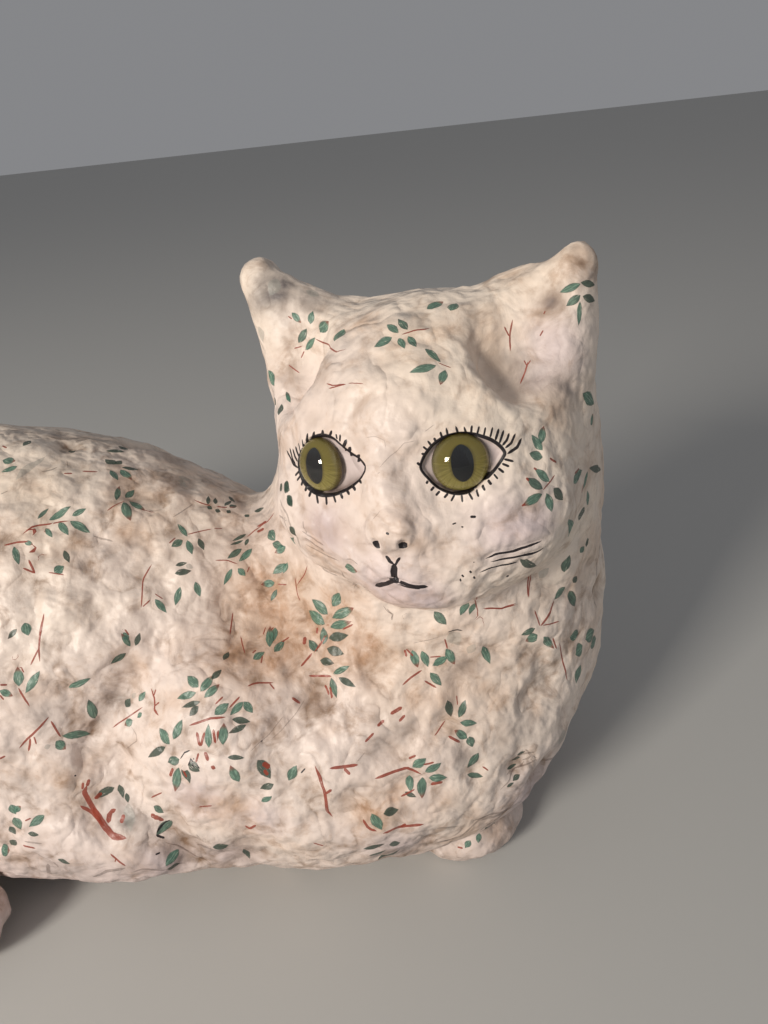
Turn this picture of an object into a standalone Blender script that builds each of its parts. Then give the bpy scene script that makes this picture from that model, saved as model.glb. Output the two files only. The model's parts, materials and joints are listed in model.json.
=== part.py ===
"""A papier-mache cat that lies with its head turned to one side, and its two glass eyes.

The body is one moulded piece. It is drawn as a soft union of eggs and rolls of pulp, in
a drawing whose units are listed below, and stretched to its real length, width and height.
Each glass eye is a button of its own that sits in a socket cut for it.
Metres, +Z up, +X towards the chest, and the face looks towards -Y.
"""

from dataclasses import dataclass

import bmesh
import bpy
import numpy as np
from mathutils import Euler, Matrix, Vector

# Overall sizes of the moulded body
BODY_LENGTH = 0.3490
BODY_WIDTH = 0.1389
BODY_HEIGHT = 0.1757

# Glass eyes
EYE_DIAMETER = 0.0122
EYE_THICKNESS = 0.0090
EYE_CLEARANCE = 0.0003

# Mesh of the body
ROUGH_VOXEL = 0.0026
BODY_TRIANGLES = 7000
EVENING_ROUNDS = 12
UNDERSIDE_SNAP = 0.3
EYE_SEGMENTS = 24
EYE_RINGS = 12

# The drawing of the body, in its own units: its extents and the middle of its underside
DRAWN_LENGTH = 349.0
DRAWN_WIDTH = 138.9
DRAWN_HEIGHT = 175.7
DRAWN_MIDDLE = np.array((0.52, -7.78, 0.0))
STRETCH = np.array(
    (
        BODY_LENGTH / DRAWN_LENGTH,
        BODY_WIDTH / DRAWN_WIDTH,
        BODY_HEIGHT / DRAWN_HEIGHT,
    )
)
BASE_ROUNDING = 3.0
HEAD_CENTRE = (123.0, -24.0, 130.5)
HEAD_TURN = (-8.0, -4.0, -18.0)
HEAD_BLEND = 7.0
EYE_PLACE = (15.9, -28.6, 2.5)
EYE_TURN_OUT = 26.0
EYE_TILT_UP = 4.0


def turned(degrees):
    """The matrix that turns a column vector by three angles about x, y and z."""
    return np.array(Euler(np.radians(degrees), "XYZ").to_matrix())


@dataclass(frozen=True)
class Egg:
    """A ball of pulp pressed to three radii. A hollow one is a thumb mark and takes pulp away."""

    centre: tuple
    radii: tuple
    turn: tuple = (0.0, 0.0, 0.0)
    blend: float = 10.0
    paired: bool = False
    hollow: bool = False

    def distance(self, points):
        """Roughly how far each point is outside the egg."""
        local = (points - self.centre) @ turned(self.turn)
        radii = np.array(self.radii)
        near = np.linalg.norm(local / radii, axis=1)
        slope = np.linalg.norm(local / radii**2, axis=1)
        return near * (near - 1.0) / np.maximum(slope, 1e-9)

    def balls(self):
        """The rough shape as centre, radii and turn of each ball."""
        return [(np.array(self.centre), np.array(self.radii), turned(self.turn))]


@dataclass(frozen=True)
class Roll:
    """A roll of pulp along a line of points. Its radii are spread evenly along the points."""

    points: tuple
    radii: tuple
    blend: float = 10.0
    paired: bool = False
    hollow: bool = False

    def pieces(self):
        """The ends and end radii of each straight piece."""
        places = np.linspace(0, len(self.radii) - 1, len(self.points))
        radii = np.interp(places, range(len(self.radii)), self.radii)
        points = np.array(self.points, float)
        return list(zip(points, points[1:], radii, radii[1:]))

    def distance(self, points):
        """How far each point is outside the roll."""
        found = None
        for start, end, thick, thin in self.pieces():
            along = end - start
            share = np.clip((points - start) @ along / (along @ along), 0.0, 1.0)
            axis = start + share[:, None] * along
            gap = np.linalg.norm(points - axis, axis=1) - thick - (thin - thick) * share
            found = gap if found is None else np.minimum(found, gap)
        return found

    def balls(self):
        """The rough shape as a row of balls along the line."""
        row = []
        for start, end, thick, thin in self.pieces():
            steps = int(np.linalg.norm(end - start) / (0.4 * thin)) + 2
            for share in np.linspace(0.0, 1.0, steps):
                radius = thick * (1 - share) + thin * share
                place = start * (1 - share) + end * share
                row.append((place, np.full(3, radius), np.eye(3)))
        return row


def smooth_line(points, parts=4):
    """More points on a smooth curve through the given ones."""
    ends = (2 * np.array(points[0]) - points[1], 2 * np.array(points[-1]) - points[-2])
    line = np.array((ends[0], *points, ends[1]), float)
    found = []
    for before, start, end, after in zip(line, line[1:], line[2:], line[3:]):
        for share in np.arange(parts) / parts:
            bend = 2 * before - 5 * start + 4 * end - after
            twist = 3 * (start - end) + after - before
            found.append(
                start + 0.5 * share * (end - before + share * (bend + share * twist))
            )
    return (*found, line[-2])


TORSO = (
    Egg((-30, 2, 60), (125, 57, 66)),
    Egg((-28, 12, 80), (85, 42, 48), blend=20),
    Egg((-115, 2, 54), (55, 56, 56), blend=25),
    Egg((123, 2, 67), (52, 48, 72), blend=20),
    Egg((127, 4, 110), (45.5, 37, 42), blend=12),
    Egg((30, -16, 30), (108, 45, 36), blend=14),
    Egg((-90, -29, 51), (53, 33, 48), turn=(0, 10, 0), blend=8),
    Egg((-92, 27, 50), (53, 33, 47), turn=(0, 10, 0), blend=8),
    Roll(
        smooth_line(((-62, -60, 100), (-42, -66, 82), (-34, -69, 56), (-40, -72, 34))),
        (3.0, 5.5, 6.5, 4.5),
        blend=10,
        hollow=True,
    ),
    Egg((152, -16, 118), (15, 22, 34), blend=10),
)
LEGS = (
    Egg((95, -25, 37), (62, 37.5, 42), blend=10),
    Egg((60, -34, 54), (28, 25, 28), blend=8),
    Roll(
        smooth_line(((46, -44, 90), (31, -52, 71), (26, -56, 58), (36, -62, 42), (52, -66, 18))),
        (3.0, 6.5, 6.5, 5.5, 3.0),
        blend=8,
        hollow=True,
    ),
    Egg((27, -60, 44), (7, 6, 9), blend=5, hollow=True),
    Egg((126, -36, 7), (18, 15, 10), turn=(0, 0, 25), blend=3),
)
TAIL = Roll(
    smooth_line(
        ((-128, 24, 24), (-153, 14, 17), (-156, -22, 16), (-134, -54, 15), (-88, -64, 14), (-20, -65, 12))
    ),
    (18, 17, 16, 15, 13, 10.5),
    blend=5,
)
HEAD = (
    Egg((0, 3, 4), (39, 36, 32)),
    Egg((2, -4, -15), (34, 29, 25)),
    Egg((18, -13, -12), (17, 17, 15), blend=8, paired=True),
    Egg((2, -25, -18), (18, 12.5, 11), blend=8),
    Egg((4, -22, -27), (13, 10, 7), blend=5),
    Roll(((1, -24, 10), (2.2, -32.5, -7)), (9, 6), blend=9),
    Egg((2.5, -35.5, -10.5), (6.5, 4.5, 4.5), blend=4),
    Egg((16.2, -37.5, 2.8), (11.5, 6.5, 8), blend=5, paired=True, hollow=True),
    Egg((25, 2, 20), (16, 10, 20), turn=(0, 30, 0), blend=9, paired=True),
    Roll(((28, 1, 22), (38, -1, 37.5)), (12, 5.5), blend=5),
    Roll(((-28, 1, 22), (-38.5, -1, 41.5)), (12, 5.5), blend=5),
    Egg((29, -15, 27), (10, 8, 16), turn=(0, 22, 0), blend=6, paired=True, hollow=True),
)


def soft_union(first, second, reach):
    """Two distances joined, with a fillet where they are within reach of each other."""
    share = np.clip(0.5 + 0.5 * (second - first) / reach, 0.0, 1.0)
    return second + (first - second) * share - reach * share * (1.0 - share)


def pile(shapes, points):
    """The distance to shapes that are pressed together in order."""
    mirrored = points * (np.sign(points[:, :1]) * (1, 0, 0) + (0, 1, 1))
    found = None
    for shape in shapes:
        gap = shape.distance(mirrored if shape.paired else points)
        if found is None:
            found = gap
        elif shape.hollow:
            found = -soft_union(-found, gap, shape.blend)
        else:
            found = soft_union(found, gap, shape.blend)
    return found


def cat_distance(points):
    """The distance from points of the drawing to the cat's skin, below zero inside it."""
    found = pile(TORSO + LEGS, points)
    head = pile(HEAD, (points - HEAD_CENTRE) @ turned(HEAD_TURN))
    found = soft_union(found, head, HEAD_BLEND)
    found = soft_union(found, TAIL.distance(points), TAIL.blend)
    return -soft_union(-found, points[:, 2], BASE_ROUNDING)


def to_metres(points):
    """Points of the drawing in metres, with the middle of the underside at the origin."""
    return (points - DRAWN_MIDDLE) * STRETCH


def from_metres(points):
    """Points in metres as points of the drawing."""
    return points / STRETCH + DRAWN_MIDDLE


def nearer_skin(points, step=0.05):
    """One step of points of the drawing towards the cat's skin."""
    gap = cat_distance(points)
    slope = np.stack(
        [
            (cat_distance(points + axis) - cat_distance(points - axis)) / (2 * step)
            for axis in np.eye(3) * step
        ],
        axis=1,
    )
    size = np.maximum((slope**2).sum(axis=1), 0.05)
    return points - np.clip(gap / size, -4.0, 4.0)[:, None] * slope


def evened(points, edges):
    """The points drawn half way to the middle of their neighbours."""
    count = len(points)
    ends = np.concatenate((edges[:, 0], edges[:, 1]))
    others = np.concatenate((edges[:, 1], edges[:, 0]))
    shares = np.maximum(np.bincount(ends, minlength=count), 1)
    middle = [
        np.bincount(ends, weights=points[others, axis], minlength=count) / shares
        for axis in range(3)
    ]
    return (points + np.stack(middle, axis=1)) / 2


def mesh_points(mesh):
    """A mesh's vertices as points of the drawing."""
    flat = np.empty(len(mesh.vertices) * 3, np.float32)
    mesh.vertices.foreach_get("co", flat)
    return from_metres(flat.reshape(-1, 3).astype(float))


def place_points(mesh, points):
    """Puts a mesh's vertices at points of the drawing, with a flat underside."""
    points[:, 2] = np.where(points[:, 2] < UNDERSIDE_SNAP, 0.0, points[:, 2])
    mesh.vertices.foreach_set("co", to_metres(points).astype(np.float32).ravel())
    mesh.update()


def settle_mesh(mesh):
    """Moves a mesh onto the skin and evens it as it goes."""
    points = mesh_points(mesh)
    ends = np.empty(len(mesh.edges) * 2, np.int32)
    mesh.edges.foreach_get("vertices", ends)
    for _ in range(EVENING_ROUNDS):
        points = evened(nearer_skin(points), ends.reshape(-1, 2))
    for _ in range(2):
        points = nearer_skin(points)
    place_points(mesh, points)


def rough_balls():
    """Every ball of the rough shape in the drawing: centre, radii and turn."""
    rows = []
    for shape in (*TORSO, *LEGS, TAIL):
        rows += [] if shape.hollow else shape.balls()
    frame = turned(HEAD_TURN)
    for shape in HEAD:
        if shape.hollow:
            continue
        for centre, radii, turn in shape.balls():
            for side in (1, -1) if shape.paired else (1,):
                flip = np.diag((side, 1, 1))
                place = frame @ (flip @ centre) + HEAD_CENTRE
                rows.append((place, radii, frame @ flip @ turn @ flip))
    return rows


def unit_ball():
    """The corners and faces of a ball of radius one."""
    made = bmesh.new()
    bmesh.ops.create_uvsphere(made, u_segments=24, v_segments=16, radius=1.0)
    corners = np.array([vertex.co for vertex in made.verts])
    faces = [[vertex.index for vertex in face.verts] for face in made.faces]
    made.free()
    return corners, faces


def rough_mesh():
    """All the balls in one mesh, in metres."""
    ball, ball_faces = unit_ball()
    corners = []
    faces = []
    for number, (centre, radii, turn) in enumerate(rough_balls()):
        corners.append(to_metres((ball * radii) @ turn.T + centre))
        first = number * len(ball)
        faces += [[first + corner for corner in face] for face in ball_faces]
    mesh = bpy.data.meshes.new("rough_cat")
    mesh.from_pydata(np.concatenate(corners).tolist(), [], faces)
    return mesh


def material(name, colour, roughness):
    """A plain finish for the solid."""
    made = bpy.data.materials.new(name)
    made.use_nodes = True
    shader = made.node_tree.nodes["Principled BSDF"]
    shader.inputs["Base Color"].default_value = (*colour, 1.0)
    shader.inputs["Roughness"].default_value = roughness
    shader.inputs["Metallic"].default_value = 0.0
    made.diffuse_color = (*colour, 1.0)
    return made


def collection(name):
    """A new collection in the scene."""
    made = bpy.data.collections.new(name)
    bpy.context.scene.collection.children.link(made)
    return made


def bake_modifiers(thing):
    """Gives an object the mesh that its modifiers make of it."""
    graph = bpy.context.evaluated_depsgraph_get()
    mesh = bpy.data.meshes.new_from_object(thing.evaluated_get(graph))
    thing.modifiers.clear()
    thing.data = mesh


def eye_matrix(side):
    """Where an eye's centre is, in metres, and which way its front, -Y, is turned."""
    frame = turned(HEAD_TURN)
    place = frame @ (np.array(EYE_PLACE) * (side, 1, 1)) + HEAD_CENTRE
    turn = frame @ turned((-EYE_TILT_UP, 0, side * EYE_TURN_OUT))
    return Matrix.Translation(to_metres(place)) @ Matrix(turn.tolist()).to_4x4()


def eye_button(name, side, clearance, home):
    """A glass eye button, or with a clearance the cutter of its socket."""
    mesh = bpy.data.meshes.new(name)
    made = bmesh.new()
    radius = EYE_DIAMETER / 2 + clearance
    depth = EYE_THICKNESS / 2 + clearance
    bmesh.ops.create_uvsphere(
        made, u_segments=EYE_SEGMENTS, v_segments=EYE_RINGS, radius=1.0
    )
    bmesh.ops.scale(made, vec=Vector((radius, radius, depth)), verts=made.verts)
    bmesh.ops.rotate(made, matrix=Euler((np.radians(90), 0, 0)).to_matrix(), verts=made.verts)
    made.to_mesh(mesh)
    made.free()
    mesh.shade_smooth()
    thing = bpy.data.objects.new(name, mesh)
    thing.matrix_world = eye_matrix(side)
    home.objects.link(thing)
    return thing


def moulded_body(home):
    """The moulded cat before its eye sockets are cut."""
    thing = bpy.data.objects.new("cat_body", rough_mesh())
    home.objects.link(thing)
    union = thing.modifiers.new("one_skin", "REMESH")
    union.mode = "VOXEL"
    union.voxel_size = ROUGH_VOXEL
    even = thing.modifiers.new("even", "SMOOTH")
    even.factor = 0.5
    even.iterations = 3
    bake_modifiers(thing)
    settle_mesh(thing.data)
    fewer = thing.modifiers.new("fewer_faces", "DECIMATE")
    fewer.ratio = BODY_TRIANGLES / sum(len(f.vertices) - 2 for f in thing.data.polygons)
    bake_modifiers(thing)
    place_points(thing.data, mesh_points(thing.data))
    return thing


def cut_socket(body, cutter):
    """Cuts one eye's socket out of the body."""
    cutter.hide_render = True
    cutter.display_type = "WIRE"
    cut = body.modifiers.new(cutter.name, "BOOLEAN")
    cut.operation = "DIFFERENCE"
    cut.object = cutter


def main():
    """Builds the body and its two eyes."""
    for thing in list(bpy.data.objects):
        bpy.data.objects.remove(thing)
    home = collection("papier_mache_cat")
    cutters = collection("cutters")
    paper = material("painted_paper", (0.80, 0.72, 0.62), 0.55)
    glass = material("olive_glass", (0.33, 0.31, 0.08), 0.08)
    body = moulded_body(home)
    body.data.materials.append(paper)
    body.data.shade_smooth()
    for name, side in (("eye_left", -1), ("eye_right", 1)):
        eye = eye_button(name, side, 0.0, home)
        eye.data.materials.append(glass)
        cut_socket(body, eye_button(name + "_socket", side, EYE_CLEARANCE, cutters))


main()
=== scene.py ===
"""The looks of a painted papier-mache cat with glass eyes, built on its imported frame."""

import json
import logging
import math
from dataclasses import dataclass
from enum import Enum

import bmesh
import bpy
import numpy as np
from mathutils import Euler, Matrix, Vector
from mathutils.bvhtree import BVHTree
from mathutils.kdtree import KDTree

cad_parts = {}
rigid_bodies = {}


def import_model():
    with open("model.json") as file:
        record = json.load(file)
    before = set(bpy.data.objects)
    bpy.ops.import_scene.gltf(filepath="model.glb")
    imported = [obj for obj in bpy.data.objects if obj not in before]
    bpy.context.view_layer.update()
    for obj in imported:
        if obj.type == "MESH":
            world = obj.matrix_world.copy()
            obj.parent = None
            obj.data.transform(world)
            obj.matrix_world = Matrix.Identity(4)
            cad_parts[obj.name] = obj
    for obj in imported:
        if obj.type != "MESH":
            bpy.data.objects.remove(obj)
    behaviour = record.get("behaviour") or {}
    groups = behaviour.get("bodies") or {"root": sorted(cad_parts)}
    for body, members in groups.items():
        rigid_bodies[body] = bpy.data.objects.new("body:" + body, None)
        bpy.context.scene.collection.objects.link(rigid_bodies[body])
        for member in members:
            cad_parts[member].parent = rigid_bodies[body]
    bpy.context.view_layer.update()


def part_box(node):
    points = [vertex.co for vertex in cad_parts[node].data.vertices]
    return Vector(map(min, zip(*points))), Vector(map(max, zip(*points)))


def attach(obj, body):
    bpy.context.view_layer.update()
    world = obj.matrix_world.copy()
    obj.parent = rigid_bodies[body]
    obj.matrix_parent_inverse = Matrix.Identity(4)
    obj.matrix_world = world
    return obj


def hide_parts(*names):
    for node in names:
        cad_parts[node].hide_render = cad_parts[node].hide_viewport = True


SEED = 11
MARK_LAYERS = 3
FAR = 9.0
LOG = logging.getLogger("papier_mache_cat")

Points = np.ndarray
Spot = tuple[float, float]
Place = tuple[float, float, float]


# the form


def turned(degrees: Place) -> Points:
    """The rotation matrix of three angles about X, Y and Z."""
    return np.array(Euler(np.radians(degrees), "XYZ").to_matrix())


@dataclass(frozen=True)
class Egg:
    """An egg-shaped lump, in millimetres of the drawing."""

    centre: Place
    radii: Place
    turn: Place = (0, 0, 0)
    blend: float = 10.0
    paired: bool = False
    hollow: bool = False

    def distance(self, points: Points) -> Points:
        """How far each point is outside the egg.

        Args:
            points: Points of the drawing, one to a row.

        Returns:
            One distance for each point, below zero inside.
        """
        local = (points - np.array(self.centre, float)) @ turned(self.turn)
        radii = np.array(self.radii, float)
        near = np.linalg.norm(local / radii, axis=1)
        slope = np.linalg.norm(local / radii**2, axis=1)
        return near * (near - 1.0) / np.maximum(slope, 1e-9)

    def balls(self) -> list[tuple[Points, Points, Points]]:
        """The egg as one ball: centre, radii and turn."""
        return [(np.array(self.centre, float), np.array(self.radii, float), turned(self.turn))]


@dataclass(frozen=True)
class Roll:
    """A roll along a line of points, with its radii spread evenly along it."""

    points: tuple[Place, ...]
    radii: tuple[float, ...]
    blend: float = 10.0
    paired: bool = False
    hollow: bool = False

    def pieces(self) -> list[tuple[Points, Points, float, float]]:
        """Each straight part of the roll: its two ends and its two radii."""
        line = np.array(self.points, float)
        share = np.linspace(0.0, 1.0, len(line))
        radii = np.interp(share, np.linspace(0.0, 1.0, len(self.radii)), self.radii)
        return list(zip(line[:-1], line[1:], radii[:-1], radii[1:]))

    def distance(self, points: Points) -> Points:
        """How far each point is outside the roll.

        Args:
            points: Points of the drawing, one to a row.

        Returns:
            One distance for each point, below zero inside.
        """
        found = np.full(len(points), 1e9)
        for start, end, thick, thin in self.pieces():
            along = end - start
            share = np.clip((points - start) @ along / (along @ along), 0.0, 1.0)
            axis = start + share[:, None] * along
            gap = np.linalg.norm(points - axis, axis=1) - thick - (thin - thick) * share
            found = np.minimum(found, gap)
        return found

    def balls(self) -> list[tuple[Points, Points, Points]]:
        """The roll as a row of balls along its line.

        Returns:
            Centre, radii and turn of each ball.
        """
        row = []
        for start, end, thick, thin in self.pieces():
            steps = int(np.linalg.norm(end - start) / (0.4 * thin)) + 2
            for share in np.linspace(0.0, 1.0, steps):
                radius = thick * (1 - share) + thin * share
                row.append((start * (1 - share) + end * share, np.full(3, radius), np.eye(3)))
        return row


def curve_part(places: list[Points], parts: int) -> list[Points]:
    """Steps from the second to the third of four places on a smooth curve through them all.

    Args:
        places: The four places.
        parts: How many steps.

    Returns:
        The steps, without the third place itself.
    """
    before, start, end, after = places
    bend = 2 * before - 5 * start + 4 * end - after
    twist = 3 * (start - end) + after - before
    shares = np.arange(parts) / parts
    return [start + 0.5 * share * (end - before + share * (bend + share * twist)) for share in shares]


def smooth_line(points: tuple[Place, ...], parts: int = 4) -> tuple[Place, ...]:
    """More points on a smooth curve through the given ones.

    Args:
        points: The points that the curve goes through.
        parts: How many steps there are from one point to the next.

    Returns:
        The points of the curve, in order.
    """
    line = np.array(points, float)
    line = np.concatenate(([2 * line[0] - line[1]], line, [2 * line[-1] - line[-2]]))
    found = []
    for places in zip(line, line[1:], line[2:], line[3:]):
        found += curve_part(places, parts)
    return (*(tuple(place) for place in found), tuple(line[-2]))


TORSO = (
    Egg((-30, 2, 60), (125, 57, 66)),
    Egg((-28, 12, 80), (85, 42, 48), blend=20),
    Egg((-115, 2, 54), (55, 56, 56), blend=25),
    Egg((123, 2, 67), (52, 48, 72), blend=20),
    Egg((127, 4, 110), (45.5, 37, 42), blend=12),
    Egg((30, -16, 30), (108, 45, 36), blend=14),
    Egg((-90, -29, 51), (53, 33, 48), turn=(0, 10, 0), blend=8),
    Egg((-92, 27, 50), (53, 33, 47), turn=(0, 10, 0), blend=8),
    Roll(
        smooth_line(((-62, -60, 100), (-42, -66, 82), (-34, -69, 56), (-40, -72, 34))),
        (3.0, 5.5, 6.5, 4.5),
        hollow=True,
    ),
    Egg((152, -16, 118), (15, 22, 34), blend=10),
)
LEGS = (
    Egg((95, -25, 37), (62, 37.5, 42), blend=10),
    Egg((60, -34, 54), (28, 25, 28), blend=8),
    Roll(
        smooth_line(((46, -44, 90), (31, -52, 71), (26, -56, 58), (36, -62, 42), (52, -66, 18))),
        (3.0, 6.5, 6.5, 5.5, 3.0),
        blend=8,
        hollow=True,
    ),
    Egg((27, -60, 44), (7, 6, 9), blend=5, hollow=True),
    Egg((126, -36, 7), (18, 15, 10), turn=(0, 0, 25), blend=3),
)
TAIL = Roll(
    smooth_line(
        ((-128, 24, 24), (-153, 14, 17), (-156, -22, 16), (-134, -54, 15), (-88, -64, 14), (-20, -65, 12))
    ),
    (18, 17, 16, 15, 13, 10.5),
    blend=5,
)
HEAD = (
    Egg((0, 3, 4), (39, 36, 32)),
    Egg((2, -4, -15), (34, 29, 25)),
    Egg((18, -13, -12), (17, 17, 15), blend=8, paired=True),
    Egg((2, -25, -18), (18, 12.5, 11), blend=8),
    Egg((4, -22, -27), (13, 10, 7), blend=5),
    Roll(((1, -24, 10), (2.2, -32.5, -7)), (9, 6), blend=9),
    Egg((2.5, -35.5, -10.5), (6.5, 4.5, 4.5), blend=4),
    Egg((16.2, -37.5, 2.8), (11.5, 6.5, 8), blend=5, paired=True, hollow=True),
    Egg((25, 2, 20), (16, 10, 20), turn=(0, 30, 0), blend=9, paired=True),
    Roll(((28, 1, 22), (38, -1, 37.5)), (12, 5.5), blend=5),
    Roll(((-28, 1, 22), (-37, -1, 41.3)), (12, 5.6), blend=5),
    Egg((29, -15, 27), (10, 8, 16), turn=(0, 22, 0), blend=6, paired=True, hollow=True),
)
HEAD_CENTRE = np.array((123.0, -24.0, 130.5))
HEAD_TURN = (-8, -4, -18)
HEAD_BLEND = 7.0
BASE_ROUNDING = 3.0
UNDERSIDE_SNAP = 0.3
DRAWN_SIZE = np.array((349.0, 138.9, 175.7))
DRAWN_MIDDLE = np.array((0.52, -7.78, 0.0))


def soft_union(first: Points, second: Points, reach: float) -> Points:
    """Two distances joined, with a fillet where they are within reach of each other."""
    share = np.clip(0.5 + 0.5 * (second - first) / reach, 0.0, 1.0)
    return second + (first - second) * share - reach * share * (1.0 - share)


def pile(shapes: tuple[Egg | Roll, ...], points: Points) -> Points:
    """The distance to shapes that are pressed together in order.

    Args:
        shapes: The lumps, rolls and hollows.
        points: Points of the drawing, one to a row.

    Returns:
        One distance for each point, below zero inside.
    """
    mirrored = points * (np.sign(points[:, :1]) * (1, 0, 0) + (0, 1, 1))
    found = shapes[0].distance(points)
    for shape in shapes[1:]:
        gap = shape.distance(mirrored if shape.paired else points)
        if shape.hollow:
            found = -soft_union(-found, gap, shape.blend)
        else:
            found = soft_union(found, gap, shape.blend)
    return found


def cat_distance(points: Points) -> Points:
    """The distance from points of the drawing to the cat's skin, below zero inside it.

    Args:
        points: One to a row.

    Returns:
        One distance for each point.
    """
    found = pile(TORSO + LEGS, points)
    head = pile(HEAD, (points - HEAD_CENTRE) @ turned(HEAD_TURN))
    found = soft_union(found, head, HEAD_BLEND)
    found = soft_union(found, TAIL.distance(points), TAIL.blend)
    return -soft_union(-found, points[:, 2], BASE_ROUNDING)


def nearer_skin(points: Points, step: float = 0.1) -> Points:
    """One step of points of the drawing towards the cat's skin.

    Args:
        points: One to a row.
        step: How far ahead the slope is felt.

    Returns:
        The moved points.
    """
    gap = cat_distance(points)
    ahead = [cat_distance(points + axis) for axis in np.eye(3) * step]
    slope = (np.stack(ahead, axis=1) - gap[:, None]) / step
    size = np.maximum((slope**2).sum(axis=1), 0.05)
    return points - np.clip(gap / size, -4.0, 4.0)[:, None] * slope


# mesh work


@dataclass
class Shell:
    """A closed skin of triangles, in millimetres of the drawing."""

    points: Points
    triangles: Points

    def edges(self) -> Points:
        """Each pair of joined corners once."""
        pairs = np.sort(self.triangles[:, [[0, 1], [1, 2], [2, 0]]].reshape(-1, 2), axis=1)
        return np.unique(pairs, axis=0)

    def middles(self) -> Points:
        """The middle of each triangle."""
        return self.points[self.triangles].mean(axis=1)

    def normals(self) -> Points:
        """The outward direction at each corner."""
        a, b, c = (self.points[self.triangles[:, corner]] for corner in range(3))
        flat = np.cross(b - a, c - a)
        summed = np.zeros_like(self.points)
        for corner in range(3):
            np.add.at(summed, self.triangles[:, corner], flat)
        return summed / np.maximum(np.linalg.norm(summed, axis=1, keepdims=True), 1e-12)

    def evened(self, edges: Points) -> None:
        """Draws each corner half way to the middle of its neighbours.

        Args:
            edges: Each pair of joined corners once.
        """
        count = len(self.points)
        ends = np.concatenate((edges[:, 0], edges[:, 1]))
        others = np.concatenate((edges[:, 1], edges[:, 0]))
        shares = np.maximum(np.bincount(ends, minlength=count), 1)
        middle = [
            np.bincount(ends, weights=self.points[others, axis], minlength=count) / shares
            for axis in range(3)
        ]
        self.points = (self.points + np.stack(middle, axis=1)) / 2

    def settled(self, rounds: int) -> None:
        """Moves the corners onto the cat's skin, evening them in the given rounds.

        Args:
            rounds: How many times the corners are evened.
        """
        edges = self.edges()
        for _ in range(rounds):
            self.points = nearer_skin(self.points)
            self.evened(edges)
        for _ in range(2):
            self.points = nearer_skin(self.points)

    def finer(self, wanted: Points) -> None:
        """Cuts the wanted triangles in four, and their neighbours to match.

        Args:
            wanted: One true or false for each triangle.
        """
        count = len(self.points)
        pairs = np.sort(self.triangles[:, [[0, 1], [1, 2], [2, 0]]], axis=2).astype(np.int64)
        keys, where = np.unique(pairs[..., 0] * count + pairs[..., 1], return_inverse=True)
        where = where.reshape(-1, 3)
        cut = np.zeros(len(keys), bool)
        cut[where[wanted]] = True
        number = np.where(cut, np.cumsum(cut) - 1 + count, -1)
        ends = np.stack((keys // count, keys % count), axis=1)
        middle = number[where]
        total = (middle >= 0).sum(axis=1)
        made = [self.triangles[total == 0]]
        for cuts in (1, 2, 3):
            chosen = total == cuts
            corners, halves = self.triangles[chosen], middle[chosen]
            if cuts < 3:
                first = np.argmax(halves >= 0, axis=1) if cuts == 1 else np.argmin(halves, axis=1) + 1
                order = (first[:, None] + np.arange(3)) % 3
                corners = np.take_along_axis(corners, order, axis=1)
                halves = np.take_along_axis(halves, order, axis=1)
            a, b, c = corners.T
            ab, bc, ca = halves.T
            made += {
                1: [np.stack(t, axis=1) for t in ((a, ab, c), (ab, b, c))],
                2: [np.stack(t, axis=1) for t in ((ab, b, bc), (a, ab, bc), (a, bc, c))],
                3: [np.stack(t, axis=1) for t in ((a, ab, ca), (ab, b, bc), (ca, bc, c), (ab, bc, ca))],
            }[cuts]
        self.points = np.concatenate((self.points, self.points[ends[cut]].mean(axis=1)))
        self.triangles = np.concatenate(made)


def rough_balls() -> list[tuple[Points, Points, Points]]:
    """Every ball of the rough shape: centre, radii and turn.

    Returns:
        One row for each ball, in millimetres of the drawing.
    """
    rows = []
    for shape in (*TORSO, *LEGS, TAIL):
        rows += [] if shape.hollow else shape.balls()
    frame = turned(HEAD_TURN)
    for shape in HEAD:
        if shape.hollow:
            continue
        for centre, radii, turn in shape.balls():
            for side in (1, -1) if shape.paired else (1,):
                flip = np.diag((side, 1, 1))
                rows.append((frame @ (flip @ centre) + HEAD_CENTRE, radii, frame @ flip @ turn @ flip))
    return rows


def rough_shell(voxel: float) -> Shell:
    """All the balls joined in one closed skin.

    Args:
        voxel: The size of a face, in millimetres.

    Returns:
        The skin, near its final place.
    """
    made = bmesh.new()
    bmesh.ops.create_uvsphere(made, u_segments=24, v_segments=16, radius=1.0)
    ball = np.array([vertex.co for vertex in made.verts])
    ball_faces = [[vertex.index for vertex in face.verts] for face in made.faces]
    made.free()
    corners, faces = [], []
    for number, (centre, radii, turn) in enumerate(rough_balls()):
        corners.append((ball * radii) @ turn.T + centre)
        faces += [[number * len(ball) + corner for corner in face] for face in ball_faces]
    mesh = bpy.data.meshes.new("rough_cat")
    mesh.from_pydata(np.concatenate(corners).tolist(), [], faces)
    thing = bpy.data.objects.new("rough_cat", mesh)
    bpy.context.scene.collection.objects.link(thing)
    union = thing.modifiers.new("one_skin", "REMESH")
    union.mode = "VOXEL"
    union.voxel_size = voxel
    even = thing.modifiers.new("even", "SMOOTH")
    even.factor = 0.5
    even.iterations = 3
    whole = made_mesh(thing)
    shell = Shell(mesh_points(whole), mesh_triangles(whole))
    bpy.data.objects.remove(thing)
    return shell


def made_mesh(thing: bpy.types.Object) -> bpy.types.Mesh:
    """The plain mesh that an object's modifiers make."""
    graph = bpy.context.evaluated_depsgraph_get()
    return bpy.data.meshes.new_from_object(thing.evaluated_get(graph))


def mesh_points(mesh: bpy.types.Mesh) -> Points:
    """A mesh's corners, one to a row."""
    flat = np.empty(len(mesh.vertices) * 3, np.float32)
    mesh.vertices.foreach_get("co", flat)
    return flat.reshape(-1, 3).astype(float)


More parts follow.
